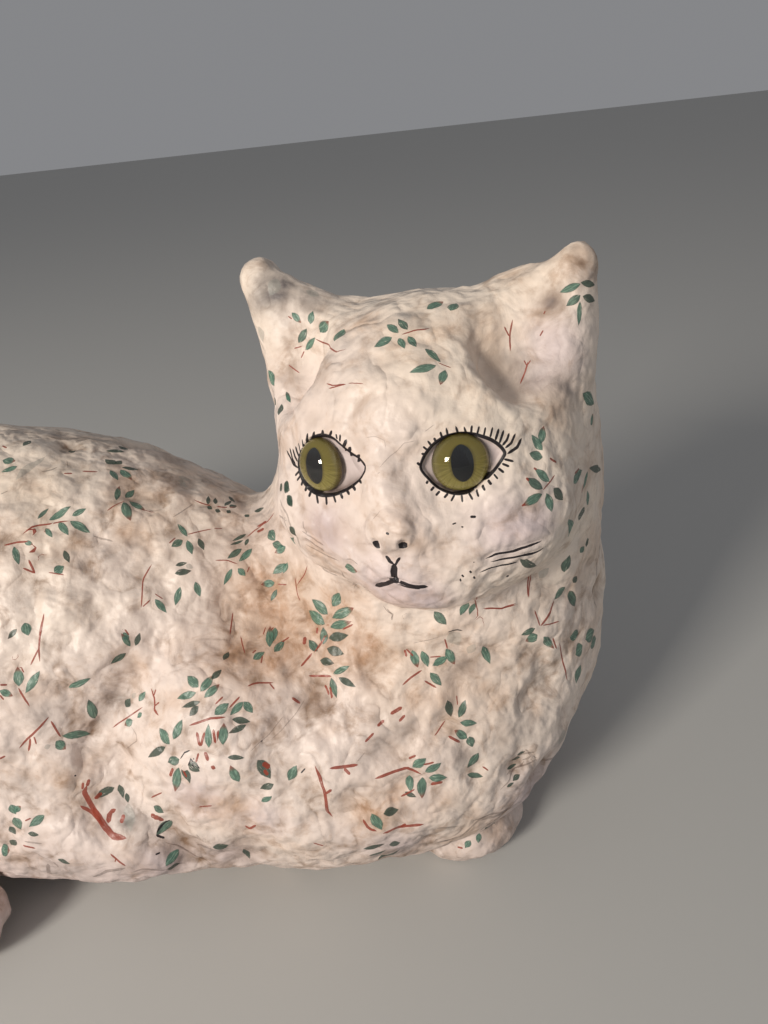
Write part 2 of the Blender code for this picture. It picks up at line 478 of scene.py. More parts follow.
def mesh_triangles(mesh: bpy.types.Mesh) -> Points:
    """A mesh's faces cut into triangles, as corner numbers."""
    mesh.calc_loop_triangles()
    flat = np.empty(len(mesh.loop_triangles) * 3, np.int32)
    mesh.loop_triangles.foreach_get("vertices", flat)
    return flat.reshape(-1, 3).astype(np.int64)


def plain_object(name: str, points: Points, faces: list[list[int]]) -> bpy.types.Object:
    """A new object at the origin with a smooth mesh.

    Args:
        name: The piece's name.
        points: Its corners, in metres.
        faces: Its faces, as corner numbers.

    Returns:
        The object, in the scene.
    """
    mesh = bpy.data.meshes.new(name)
    mesh.from_pydata(points.tolist(), [], faces)
    mesh.shade_smooth()
    thing = bpy.data.objects.new(name, mesh)
    bpy.context.scene.collection.objects.link(thing)
    return thing


def put_attribute(mesh: bpy.types.Mesh, name: str, kind: str, domain: str, values: Points) -> None:
    """Stores numbers on a mesh under a name."""
    layer = mesh.attributes.new(name, kind, domain)
    field = "value" if kind == "FLOAT" else "vector"
    layer.data.foreach_set(field, np.asarray(values, np.float32).ravel())


def eased(value: Points, low: float, high: float) -> Points:
    """Zero below low, one above high, and smooth between them."""
    share = np.clip((value - low) / (high - low), 0.0, 1.0)
    return share * share * (3.0 - 2.0 * share)


# the camera's view


@dataclass(frozen=True)
class Viewpoint:
    """Where the picture is taken from, in millimetres of the drawing."""

    place: Place = (120.0, -203.0, 208.8)
    right: Place = (0.99502, 0.0, -0.0997)
    down: Place = (-0.08725, -0.4838, -0.8708)
    forward: Place = (-0.04824, 0.8752, -0.4814)
    focus: float = 775.0
    middle: Spot = (384.0, 512.0)
    long_side: float = 1024.0
    sensor: float = 36.0

    def ray(self, spot: Spot) -> Vector:
        """The direction in which a spot of the picture is seen."""
        across, lower = spot[0] - self.middle[0], spot[1] - self.middle[1]
        found = (
            np.array(self.right) * across + np.array(self.down) * lower + np.array(self.forward) * self.focus
        )
        return Vector(found).normalized()

    def depth(self, points: Points) -> Points:
        """How far points are in front of the camera."""
        return (points - np.array(self.place)) @ np.array(self.forward)

    def camera(self, frame: "Drawing") -> bpy.types.Object:
        """Makes the scene's camera.

        Args:
            frame: Where the drawing lies.

        Returns:
            The camera.
        """
        data = bpy.data.cameras.new("camera")
        data.sensor_width = self.sensor
        data.lens = self.focus / self.long_side * self.sensor
        data.clip_start, data.clip_end = 0.01, 20.0
        thing = bpy.data.objects.new("camera", data)
        bpy.context.scene.collection.objects.link(thing)
        columns = np.stack((self.right, -np.array(self.down), -np.array(self.forward)), axis=1)
        turn = Matrix(columns.tolist()).to_quaternion().to_matrix().to_4x4()
        thing.matrix_world = Matrix.Translation(frame.metres(np.array(self.place))) @ turn
        bpy.context.scene.camera = thing
        return thing


@dataclass(frozen=True)
class Drawing:
    """How the drawing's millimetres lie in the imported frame's metres."""

    stretch: Place

    @classmethod
    def of_node(cls, node: str) -> "Drawing":
        """The drawing that fits a node's box."""
        low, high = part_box(node)
        return cls(tuple(np.array(high - low) / DRAWN_SIZE))

    def metres(self, points: Points) -> Points:
        """Points of the drawing in metres."""
        return (points - DRAWN_MIDDLE) * np.array(self.stretch)


# node trees


class Bench:
    """A node tree under construction."""

    def __init__(self, tree: bpy.types.NodeTree) -> None:
        """Starts on a tree."""
        self.tree = tree
        self.count = 0

    def node(self, kind: str, settings: dict | None = None, values: dict | None = None) -> bpy.types.Node:
        """Adds a node.

        Args:
            kind: The node's type.
            settings: Properties that are set before its sockets.
            values: A value or a link for each socket, by name or number.

        Returns:
            The node.
        """
        made = self.tree.nodes.new(kind)
        made.location = (180 * (self.count % 14), -220 * (self.count // 14))
        self.count += 1
        for name, value in (settings or {}).items():
            setattr(made, name, value)
        for name, value in (values or {}).items():
            socket = made.inputs[name]
            if isinstance(value, Amount):
                self.tree.links.new(value.socket, socket)
            elif isinstance(value, bpy.types.NodeSocket):
                self.tree.links.new(value, socket)
            else:
                socket.default_value = value
        return made

    def math(self, operation: str, *values: "float | Amount", clamp: bool = False) -> "Amount":
        """One Math node on one to three values."""
        made = self.node(
            "ShaderNodeMath", {"operation": operation, "use_clamp": clamp}, dict(enumerate(values))
        )
        return Amount(self, made.outputs[0])

    def eased(self, value: "Amount", low: float, high: float) -> "Amount":
        """Zero below low, one above high, and smooth between them; low may be the larger.

        Args:
            value: What is eased.
            low: Where it starts.
            high: Where it ends.

        Returns:
            The eased value.
        """
        made = self.node(
            "ShaderNodeMapRange",
            {"interpolation_type": "SMOOTHSTEP"},
            {"Value": value, "From Min": low, "From Max": high},
        )
        return Amount(self, made.outputs["Result"])

    def blend(
        self,
        base: "tuple | bpy.types.NodeSocket",
        other: "tuple | bpy.types.NodeSocket",
        factor: "float | Amount",
    ) -> bpy.types.NodeSocket:
        """One colour laid over another by a factor."""
        settings = {"data_type": "RGBA", "clamp_factor": True}
        made = self.node("ShaderNodeMix", settings, {0: factor, 6: base, 7: other})
        return made.outputs[2]

    def noise(
        self,
        where: bpy.types.NodeSocket,
        size: float,
        detail: float = 2.0,
        roughness: float = 0.5,
        distortion: float = 0.0,
        shift: float = 0.0,
    ) -> "Amount":
        """Smooth random values, with lumps of a size in metres.

        Args:
            where: Coordinates.
            size: A lump's size.
            detail: How many finer layers it has.
            roughness: How strong they are.
            distortion: How much they swirl.
            shift: Which pattern it is.

        Returns:
            A value from zero to one.
        """
        made = self.node(
            "ShaderNodeTexNoise",
            {"noise_dimensions": "4D"},
            {
                "Vector": where,
                "W": shift,
                "Scale": 1.0 / size,
                "Detail": detail,
                "Roughness": roughness,
                "Distortion": distortion,
            },
        )
        return Amount(self, made.outputs[0])

    def stretched(self, where: bpy.types.NodeSocket, factors: Place) -> bpy.types.NodeSocket:
        """Coordinates multiplied along each axis."""
        made = self.node("ShaderNodeVectorMath", {"operation": "MULTIPLY"}, {0: where, 1: factors})
        return made.outputs[0]


class Amount:
    """A number that a node tree works out, for use in plain expressions."""

    def __init__(self, bench: Bench, socket: bpy.types.NodeSocket) -> None:
        """Wraps one output socket."""
        self.bench = bench
        self.socket = socket

    def __add__(self, other: "float | Amount") -> "Amount":
        """Sum."""
        return self.bench.math("ADD", self, other)

    __radd__ = __add__

    def __mul__(self, other: "float | Amount") -> "Amount":
        """Product."""
        return self.bench.math("MULTIPLY", self, other)

    __rmul__ = __mul__

    def __sub__(self, other: "float | Amount") -> "Amount":
        """Difference."""
        return self.bench.math("SUBTRACT", self, other)

    def __rsub__(self, other: "float | Amount") -> "Amount":
        """Difference, turned round."""
        return self.bench.math("SUBTRACT", other, self)

    def __truediv__(self, other: "float | Amount") -> "Amount":
        """Quotient."""
        return self.bench.math("DIVIDE", self, other)

    def __pow__(self, other: "float | Amount") -> "Amount":
        """Power."""
        return self.bench.math("POWER", self, other)

    def __abs__(self) -> "Amount":
        """Size without sign."""
        return self.bench.math("ABSOLUTE", self)

    def __gt__(self, other: "float | Amount") -> "Amount":
        """One where it is greater, else zero."""
        return self.bench.math("GREATER_THAN", self, other)

    def __lt__(self, other: "float | Amount") -> "Amount":
        """One where it is less, else zero."""
        return self.bench.math("LESS_THAN", self, other)

    def held(self) -> "Amount":
        """Kept from zero to one."""
        return self.bench.math("ADD", self, 0.0, clamp=True)

    def floor(self) -> "Amount":
        """The whole number below."""
        return self.bench.math("FLOOR", self)


def new_material(name: str) -> tuple[bpy.types.Material, Bench, bpy.types.Node]:
    """A material with an empty principled shader, its bench and that shader.

    Args:
        name: Its name.

    Returns:
        The material, the bench and the shader.
    """
    made = bpy.data.materials.new(name)
    made.use_nodes = True
    made.node_tree.nodes.clear()
    bench = Bench(made.node_tree)
    shader = bench.node("ShaderNodeBsdfPrincipled")
    bench.node("ShaderNodeOutputMaterial", values={"Surface": shader.outputs[0]})
    return made, bench, shader


def ink(red: int, green: int, blue: int) -> tuple[float, float, float, float]:
    """A colour as the eye names it, in the numbers that a shader wants."""
    parts = [part / 255 for part in (red, green, blue)]
    plain = [p / 12.92 if p <= 0.04045 else ((p + 0.055) / 1.055) ** 2.4 for p in parts]
    return (*plain, 1.0)


# painted marks


class Mark(Enum):
    """The kinds of brush mark on the cat."""

    LEAF = 0
    DARK_LEAF = 1
    PALE_LEAF = 2
    TWIG = 3
    INK = 4
    # stain lines: brownish streaks, partly painted shade along creases, grooves and the edge of the neck
    STAIN_AND_SHADE_LINE = 5
    CRACK = 6


@dataclass(frozen=True)
class Sheet:
    """Marks read from one enlarged part of the picture.

    Each leaf is two ends and a width. Each line is a width and its points.
    """

    corner: Spot
    zoom: float
    leaves: tuple[tuple[float, ...], ...] = ()
    dark_leaves: tuple[tuple[float, ...], ...] = ()
    pale_leaves: tuple[tuple[float, ...], ...] = ()
    twigs: tuple[tuple[float, ...], ...] = ()
    inks: tuple[tuple[float, ...], ...] = ()
    stains_and_shade_lines: tuple[tuple[float, ...], ...] = ()
    cracks: tuple[tuple[float, ...], ...] = ()

    def marks(self) -> list[tuple[Mark, float, list[Spot]]]:
        """Every mark as its kind, its width and its points, in pixels of the whole picture.

        Returns:
            The marks, in the order in which they are painted.
        """
        leaf_rows = (
            (Mark.LEAF, self.leaves),
            (Mark.DARK_LEAF, self.dark_leaves),
            (Mark.PALE_LEAF, self.pale_leaves),
        )
        line_rows = (
            (Mark.TWIG, self.twigs),
            (Mark.INK, self.inks),
            (Mark.STAIN_AND_SHADE_LINE, self.stains_and_shade_lines),
            (Mark.CRACK, self.cracks),
        )
        found = [
            (kind, width, [(x0, y0), (x1, y1)]) for kind, rows in leaf_rows for x0, y0, x1, y1, width in rows
        ]
        found += [
            (kind, width, list(zip(flat[::2], flat[1::2])))
            for kind, rows in line_rows
            for width, *flat in rows
        ]
        left, top = self.corner
        return [
            (kind, width / self.zoom, [(left + x / self.zoom, top + y / self.zoom) for x, y in line])
            for kind, width, line in found
        ]


EARS = Sheet(
    corner=(230, 230),
    zoom=5,
    leaves=(
        (308, 412, 355, 465, 28), (395, 470, 412, 400, 30), (445, 510, 488, 448, 38),
        (515, 550, 562, 480, 36), (335, 565, 378, 490, 32), (370, 600, 420, 535, 30),
        (185, 700, 222, 780, 28), (842, 515, 785, 475, 30), (888, 500, 842, 450, 32),
        (812, 538, 722, 590, 36), (845, 540, 875, 600, 34), (890, 532, 932, 588, 34),
        (975, 598, 1055, 660, 30), (1032, 678, 895, 715, 36), (1075, 700, 1050, 775, 40),
        (985, 395, 1068, 360, 30), (1100, 415, 1132, 370, 36), (1755, 268, 1645, 312, 36),
        (1755, 325, 1680, 380, 38), (1752, 355, 1745, 480, 24), (1765, 815, 1815, 870, 30),
        (1800, 975, 1815, 915, 22),
    ),
    dark_leaves=(
        (285, 810, 300, 860, 18), (1755, 262, 1830, 275, 30), (1765, 330, 1830, 355, 36),
        (1835, 980, 1842, 905, 22),
    ),
    pale_leaves=((145, 480, 160, 565, 24), (240, 240, 200, 330, 60), (380, 300, 450, 320, 30)),
    twigs=(
        (6, 290, 430, 310, 445), (6, 315, 592, 352, 582), (6, 365, 605, 352, 640),
        (8, 415, 540, 480, 570, 530, 605, 580, 588), (7, 148, 603, 220, 620), (6, 170, 712, 240, 685),
        (6, 288, 672, 350, 715), (7, 858, 522, 920, 505, 1000, 498), (5, 1040, 662, 1105, 690),
        (7, 480, 765, 510, 775, 580, 770), (6, 490, 790, 540, 778, 580, 770), (4, 590, 765, 670, 770),
        (6, 1815, 250, 1860, 212), (7, 1548, 530, 1565, 500), (6, 1570, 420, 1578, 402),
        (9, 1412, 445, 1398, 520, 1400, 608), (8, 1368, 482, 1395, 530),
        (8, 1450, 768, 1478, 700, 1490, 655), (6, 1470, 650, 1482, 675), (6, 1502, 650, 1488, 672),
        (6, 1830, 770, 1825, 880, 1865, 880),
    ),
)
FACE = Sheet(
    corner=(284, 424),
    zoom=8,
    leaves=((470, 1155, 575, 1190, 45),),
    dark_leaves=((10, 470, 40, 530, 45), (20, 580, 65, 650, 40), (40, 820, 90, 900, 40)),
    twigs=(
        (9, 75, 1225, 100, 1300, 110, 1420), (8, 105, 1290, 150, 1220, 190, 1130),
        (8, 1600, 1480, 1760, 1475, 1870, 1440), (8, 1990, 1215, 1965, 1390),
    ),
    inks=(
        # the nostrils
        (40, 836, 1252, 920, 1257), (46, 726, 946, 736, 996), (58, 950, 948, 956, 998),
        # lashes of the left eye, above
        (15, 120, 352, 75, 320, 25, 205), (13, 95, 325, 68, 280, 46, 186), (13, 110, 300, 88, 260, 69, 195),
        (13, 128, 268, 106, 225, 91, 175), (13, 143, 235, 126, 195, 115, 148),
        (14, 165, 190, 150, 155, 145, 119), (21, 188, 155, 191, 70), (20, 243, 118, 246, 56),
        (21, 312, 104, 313, 45), (18, 365, 112, 384, 50), (13, 424, 120, 416, 77), (14, 445, 140, 450, 81),
        (22, 488, 215, 499, 122), (22, 532, 255, 529, 183), (19, 585, 302, 594, 248),
        # and below
        (15, 128, 372, 88, 412), (15, 142, 406, 103, 452), (17, 158, 445, 138, 492),
        (21, 192, 488, 169, 537), (20, 225, 525, 199, 583), (17, 262, 552, 273, 638),
        (18, 338, 562, 342, 648), (17, 395, 552, 415, 628), (21, 452, 530, 471, 598),
        (20, 500, 508, 524, 565), (20, 545, 480, 568, 529), (17, 588, 440, 615, 470),
        # lashes of the right eye, above
        (20, 1140, 240, 1097, 235), (19, 1155, 212, 1110, 177), (19, 1188, 185, 1148, 131),
        (21, 1222, 150, 1198, 107), (20, 1268, 118, 1249, 59), (20, 1303, 100, 1295, 24),
        (20, 1383, 84, 1371, 11), (20, 1447, 84, 1438, 16), (17, 1512, 84, 1503, 6),
        (17, 1543, 88, 1561, 15), (17, 1597, 96, 1612, 23), (17, 1648, 108, 1670, 22),
        (22, 1690, 130, 1721, 33), (21, 1722, 155, 1762, 46), (21, 1745, 172, 1785, 128, 1808, 69),
        (21, 1768, 192, 1822, 150, 1857, 72), (26, 1785, 238, 1870, 182, 1908, 108),
        # and below
        (21, 1758, 278, 1839, 297), (21, 1742, 314, 1804, 338), (22, 1712, 350, 1761, 388),
        (17, 1676, 396, 1712, 439), (22, 1632, 442, 1659, 485), (22, 1588, 484, 1607, 533),
        (18, 1542, 518, 1556, 583), (19, 1478, 545, 1510, 606), (18, 1420, 560, 1427, 625),
        (17, 1366, 560, 1335, 617), (21, 1312, 552, 1280, 590), (21, 1248, 532, 1213, 572),
        (21, 1202, 498, 1172, 533), (21, 1152, 450, 1138, 477), (22, 1064, 306, 1088, 328),
        # the mouth and the line under the nose
        (21, 810, 1062, 848, 1108, 876, 1135), (21, 932, 1078, 902, 1110, 880, 1135),
        (42, 878, 1122, 884, 1200, 892, 1268), (36, 900, 1240, 820, 1282, 722, 1303),
        (30, 885, 1240, 950, 1275, 1050, 1302, 1152, 1308), (18, 880, 1262, 950, 1300, 1090, 1322),
        # the creases of the cheek, picked out in black
        (17, 1600, 1075, 1690, 1030, 1800, 1015, 1930, 980, 2060, 925),
        (17, 1645, 1096, 1800, 1066, 2000, 1032, 2080, 985),
        (11, 1560, 1186, 1650, 1146, 1780, 1126, 1880, 1100), (20, 1406, 1252, 1420, 1248),
        (21, 1425, 1223, 1439, 1215), (21, 1487, 1191, 1503, 1181), (20, 1513, 1229, 1529, 1221),
        (11, 1516, 1108, 1526, 1106), (17, 1777, 1218, 1798, 1210),
        # flecks of black
        (22, 808, 872, 836, 884), (22, 1488, 740, 1537, 740), (13, 1347, 801, 1379, 789),
        (13, 1418, 820, 1436, 824),
    ),
    stains_and_shade_lines=(
        (10, 135, 850, 190, 890, 330, 970), (9, 155, 910, 240, 960, 330, 1012),
        (9, 165, 960, 290, 1030, 430, 1095), (9, 480, 1090, 520, 1090, 580, 1135),
        (10, 300, 1150, 430, 1210), (12, 440, 1190, 560, 1290, 700, 1340),
        (12, 820, 1470, 880, 1540, 860, 1570), (8, 155, 770, 175, 880),
    ),
    cracks=(
        (6, 750, 355, 830, 275, 900, 225, 960, 150, 1060, 130), (5, 640, 110, 720, 95, 800, 130, 812, 200),
        (6, 1125, 62, 1200, 5), (5, 738, 400, 760, 385), (4, 700, 760, 730, 730, 760, 690),
    ),
)
CHEST = Sheet(
    corner=(480, 540),
    zoom=5,
    leaves=(
        (418, 160, 450, 75, 30), (505, 65, 525, 30, 24), (465, 260, 485, 335, 32), (432, 235, 375, 300, 34),
        (275, 440, 205, 475, 26), (285, 470, 230, 510, 40), (315, 480, 375, 545, 36),
        (508, 475, 465, 490, 36), (535, 500, 575, 450, 32), (550, 525, 580, 490, 30),
        (520, 530, 480, 575, 34), (500, 620, 465, 710, 26), (425, 880, 490, 840, 30),
    ),
    dark_leaves=(
        (530, 22, 548, 0, 22), (470, 215, 490, 180, 26), (200, 100, 285, 130, 30),
        (200, 1085, 235, 1060, 14), (175, 1110, 220, 1095, 12), (150, 1160, 200, 1130, 14),
        (160, 1200, 200, 1170, 12), (130, 1230, 165, 1205, 12),
    ),
    pale_leaves=((300, 195, 352, 145, 34), (375, 990, 410, 960, 34)),
    twigs=(
        (9, 375, 300, 350, 370, 300, 430), (7, 275, 350, 300, 430), (6, 310, 425, 400, 405),
        (6, 255, 180, 245, 290), (7, 370, 490, 385, 545), (6, 400, 510, 430, 700), (7, 20, 1135, 42, 1152),
    ),
    stains_and_shade_lines=(
        (8, 170, 1120, 220, 1080, 270, 1050), (8, 230, 1045, 265, 1080, 220, 1110),
        (8, 140, 1180, 200, 1150, 230, 1110), (7, 340, 1110, 380, 1080), (12, 0, 1400, 80, 1370, 160, 1310),
    ),
)

HEAD_SIDE = Sheet(
    corner=(520, 395),
    zoom=7,
    leaves=(
        (160, 385, 90, 275, 50), (150, 340, 180, 210, 44), (160, 435, 70, 405, 60),
        (210, 605, 105, 515, 50), (160, 655, 40, 580, 60), (160, 690, 15, 775, 56),
        (190, 685, 232, 820, 50), (400, 605, 455, 525, 40), (450, 670, 480, 530, 36),
        (485, 770, 480, 670, 24), (345, 870, 340, 990, 34),
    ),
    dark_leaves=((240, 650, 305, 735, 50), (490, 510, 565, 520, 50), (420, 845, 460, 815, 44)),
    twigs=(
        (14, 205, 440, 255, 470), (14, 120, 520, 98, 508), (16, 60, 600, 38, 578), (14, 40, 760, 14, 776),
        (10, 160, 665, 210, 610, 248, 555), (8, 405, 545, 440, 515), (8, 440, 690, 450, 620),
    ),
    stains_and_shade_lines=((7, 600, 150, 628, 260, 640, 400, 620, 560), (7, 540, 1100, 545, 1300, 560, 1500)),
)
NECK_EDGE = Sheet(
    corner=(255, 395),
    zoom=7,
    leaves=((225, 0, 250, 55, 26), (240, 920, 280, 980, 40), (265, 1000, 290, 1060, 30)),
    dark_leaves=(
        (130, 20, 150, 70, 20), (165, 140, 190, 60, 24), (150, 270, 155, 330, 24), (205, 625, 245, 665, 50),
        (175, 620, 185, 672, 26), (225, 700, 262, 780, 40),
    ),
    stains_and_shade_lines=(
        (8, 200, 230, 165, 420, 145, 600), (10, 175, 720, 230, 850, 290, 1000, 320, 1080),
        (8, 150, 700, 200, 860, 260, 1000),
    ),
)
BACK = Sheet(
    corner=(0, 420),
    zoom=6.897,
    leaves=(
        (20, 282, 112, 292, 38), (125, 330, 10, 365, 34), (760, 340, 815, 415, 34),
        (830, 335, 910, 405, 40), (800, 540, 825, 445, 36), (865, 520, 930, 455, 40),
        (890, 550, 1005, 610, 44), (850, 560, 900, 690, 60), (250, 665, 330, 590, 24),
        (330, 670, 490, 590, 46), (495, 655, 595, 605, 36), (480, 690, 625, 775, 52),
        (400, 690, 475, 795, 46), (305, 730, 360, 805, 34), (160, 830, 222, 850, 32),
        (85, 860, 125, 995, 44), (370, 1050, 440, 1000, 60), (1290, 805, 1225, 710, 34),
        (1260, 830, 1180, 872, 46), (1290, 830, 1325, 930, 42), (1670, 890, 1565, 960, 40),
        (1745, 890, 1645, 980, 40), (1600, 1025, 1540, 1140, 34), (1640, 1025, 1695, 1075, 42),
        (1245, 1145, 1210, 1280, 42), (1345, 1115, 1380, 1220, 42), (1068, 1232, 1150, 1330, 42),
        (1860, 760, 1900, 830, 50), (1880, 850, 1950, 870, 50), (1960, 870, 1890, 915, 40),
        (1960, 990, 1880, 1060, 50), (1965, 980, 1945, 1060, 26), (1885, 1120, 1790, 1132, 50),
        (1905, 1165, 1860, 1250, 32), (165, 1395, 190, 1490, 64), (850, 1460, 890, 1517, 34),
        (1895, 1420, 1885, 1517, 42),
    ),
    dark_leaves=(
        (165, 170, 217, 178, 40), (470, 190, 522, 184, 36), (730, 200, 865, 212, 16),
        (885, 200, 815, 178, 24), (800, 300, 725, 258, 40), (800, 300, 840, 268, 30),
        (840, 320, 960, 332, 20), (440, 895, 475, 975, 36), (1365, 820, 1405, 900, 36),
        (1430, 590, 1435, 530, 26), (1480, 590, 1485, 540, 28), (1545, 600, 1600, 545, 22),
        (1580, 520, 1622, 556, 18), (1580, 602, 1635, 590, 24), (1425, 602, 1462, 622, 24),
        (1480, 625, 1520, 640, 22), (1560, 632, 1592, 646, 24), (1750, 622, 1812, 595, 20),
        (1690, 662, 1716, 640, 24), (1700, 785, 1600, 836, 22), (1680, 830, 1585, 866, 18),
        (1715, 820, 1690, 872, 24), (110, 1440, 50, 1510, 34), (1205, 1055, 1320, 1040, 40),
        (1210, 1000, 1290, 985, 26),
    ),
    pale_leaves=(
        (1235, 380, 1322, 400, 28), (1240, 430, 1302, 446, 28), (1230, 405, 1290, 425, 20),
        (110, 420, 320, 245, 40), (1280, 1000, 1330, 1022, 34),
    ),
    twigs=(
        (8, 735, 615, 800, 575, 870, 548), (6, 1000, 605, 1070, 625),
        (12, 140, 780, 220, 715, 400, 690, 480, 690), (10, 165, 745, 255, 735, 215, 785),
        (14, 15, 855, 100, 832, 190, 828), (9, 215, 850, 265, 890, 190, 905), (16, 190, 955, 235, 1055),
        (14, 150, 1015, 235, 1050), (9, 330, 1048, 440, 1065), (8, 1290, 790, 1380, 768, 1460, 755),
        (6, 1475, 750, 1535, 746), (10, 1165, 850, 1210, 812),
        (8, 1330, 550, 1430, 595, 1560, 610, 1630, 600), (8, 1700, 810, 1800, 720, 1890, 630),
        (20, 1775, 775, 1820, 745), (12, 1770, 730, 1830, 690), (8, 1480, 970, 1560, 970, 1640, 995),
        (8, 1705, 1052, 1722, 1010), (10, 1050, 980, 985, 1090, 975, 1300), (10, 985, 1290, 1035, 1240),
        (8, 1068, 1195, 1125, 1232), (8, 1910, 1130, 1975, 1135), (12, 300, 1330, 270, 1517),
        (11, 860, 1440, 890, 1480), (10, 1605, 1320, 1590, 1465), (9, 1855, 1450, 1885, 1420),
        (9, 440, 372, 500, 368), (9, 565, 350, 675, 348), (9, 20, 190, 50, 205),
    ),
    stains_and_shade_lines=(
        (9, 50, 98, 130, 98), (11, 165, 95, 230, 95), (10, 190, 130, 275, 120),
        (12, 330, 110, 430, 125, 640, 120), (14, 520, 140, 620, 126), (26, 420, 195, 446, 180),
        (7, 290, 360, 350, 350, 400, 325), (6, 470, 340, 460, 270), (8, 1190, 670, 1260, 630, 1330, 580),
        (10, 640, 790, 780, 830), (9, 1000, 150, 1180, 220), (9, 1090, 180, 1230, 250),
        (6, 0, 500, 50, 480),
    ),
)
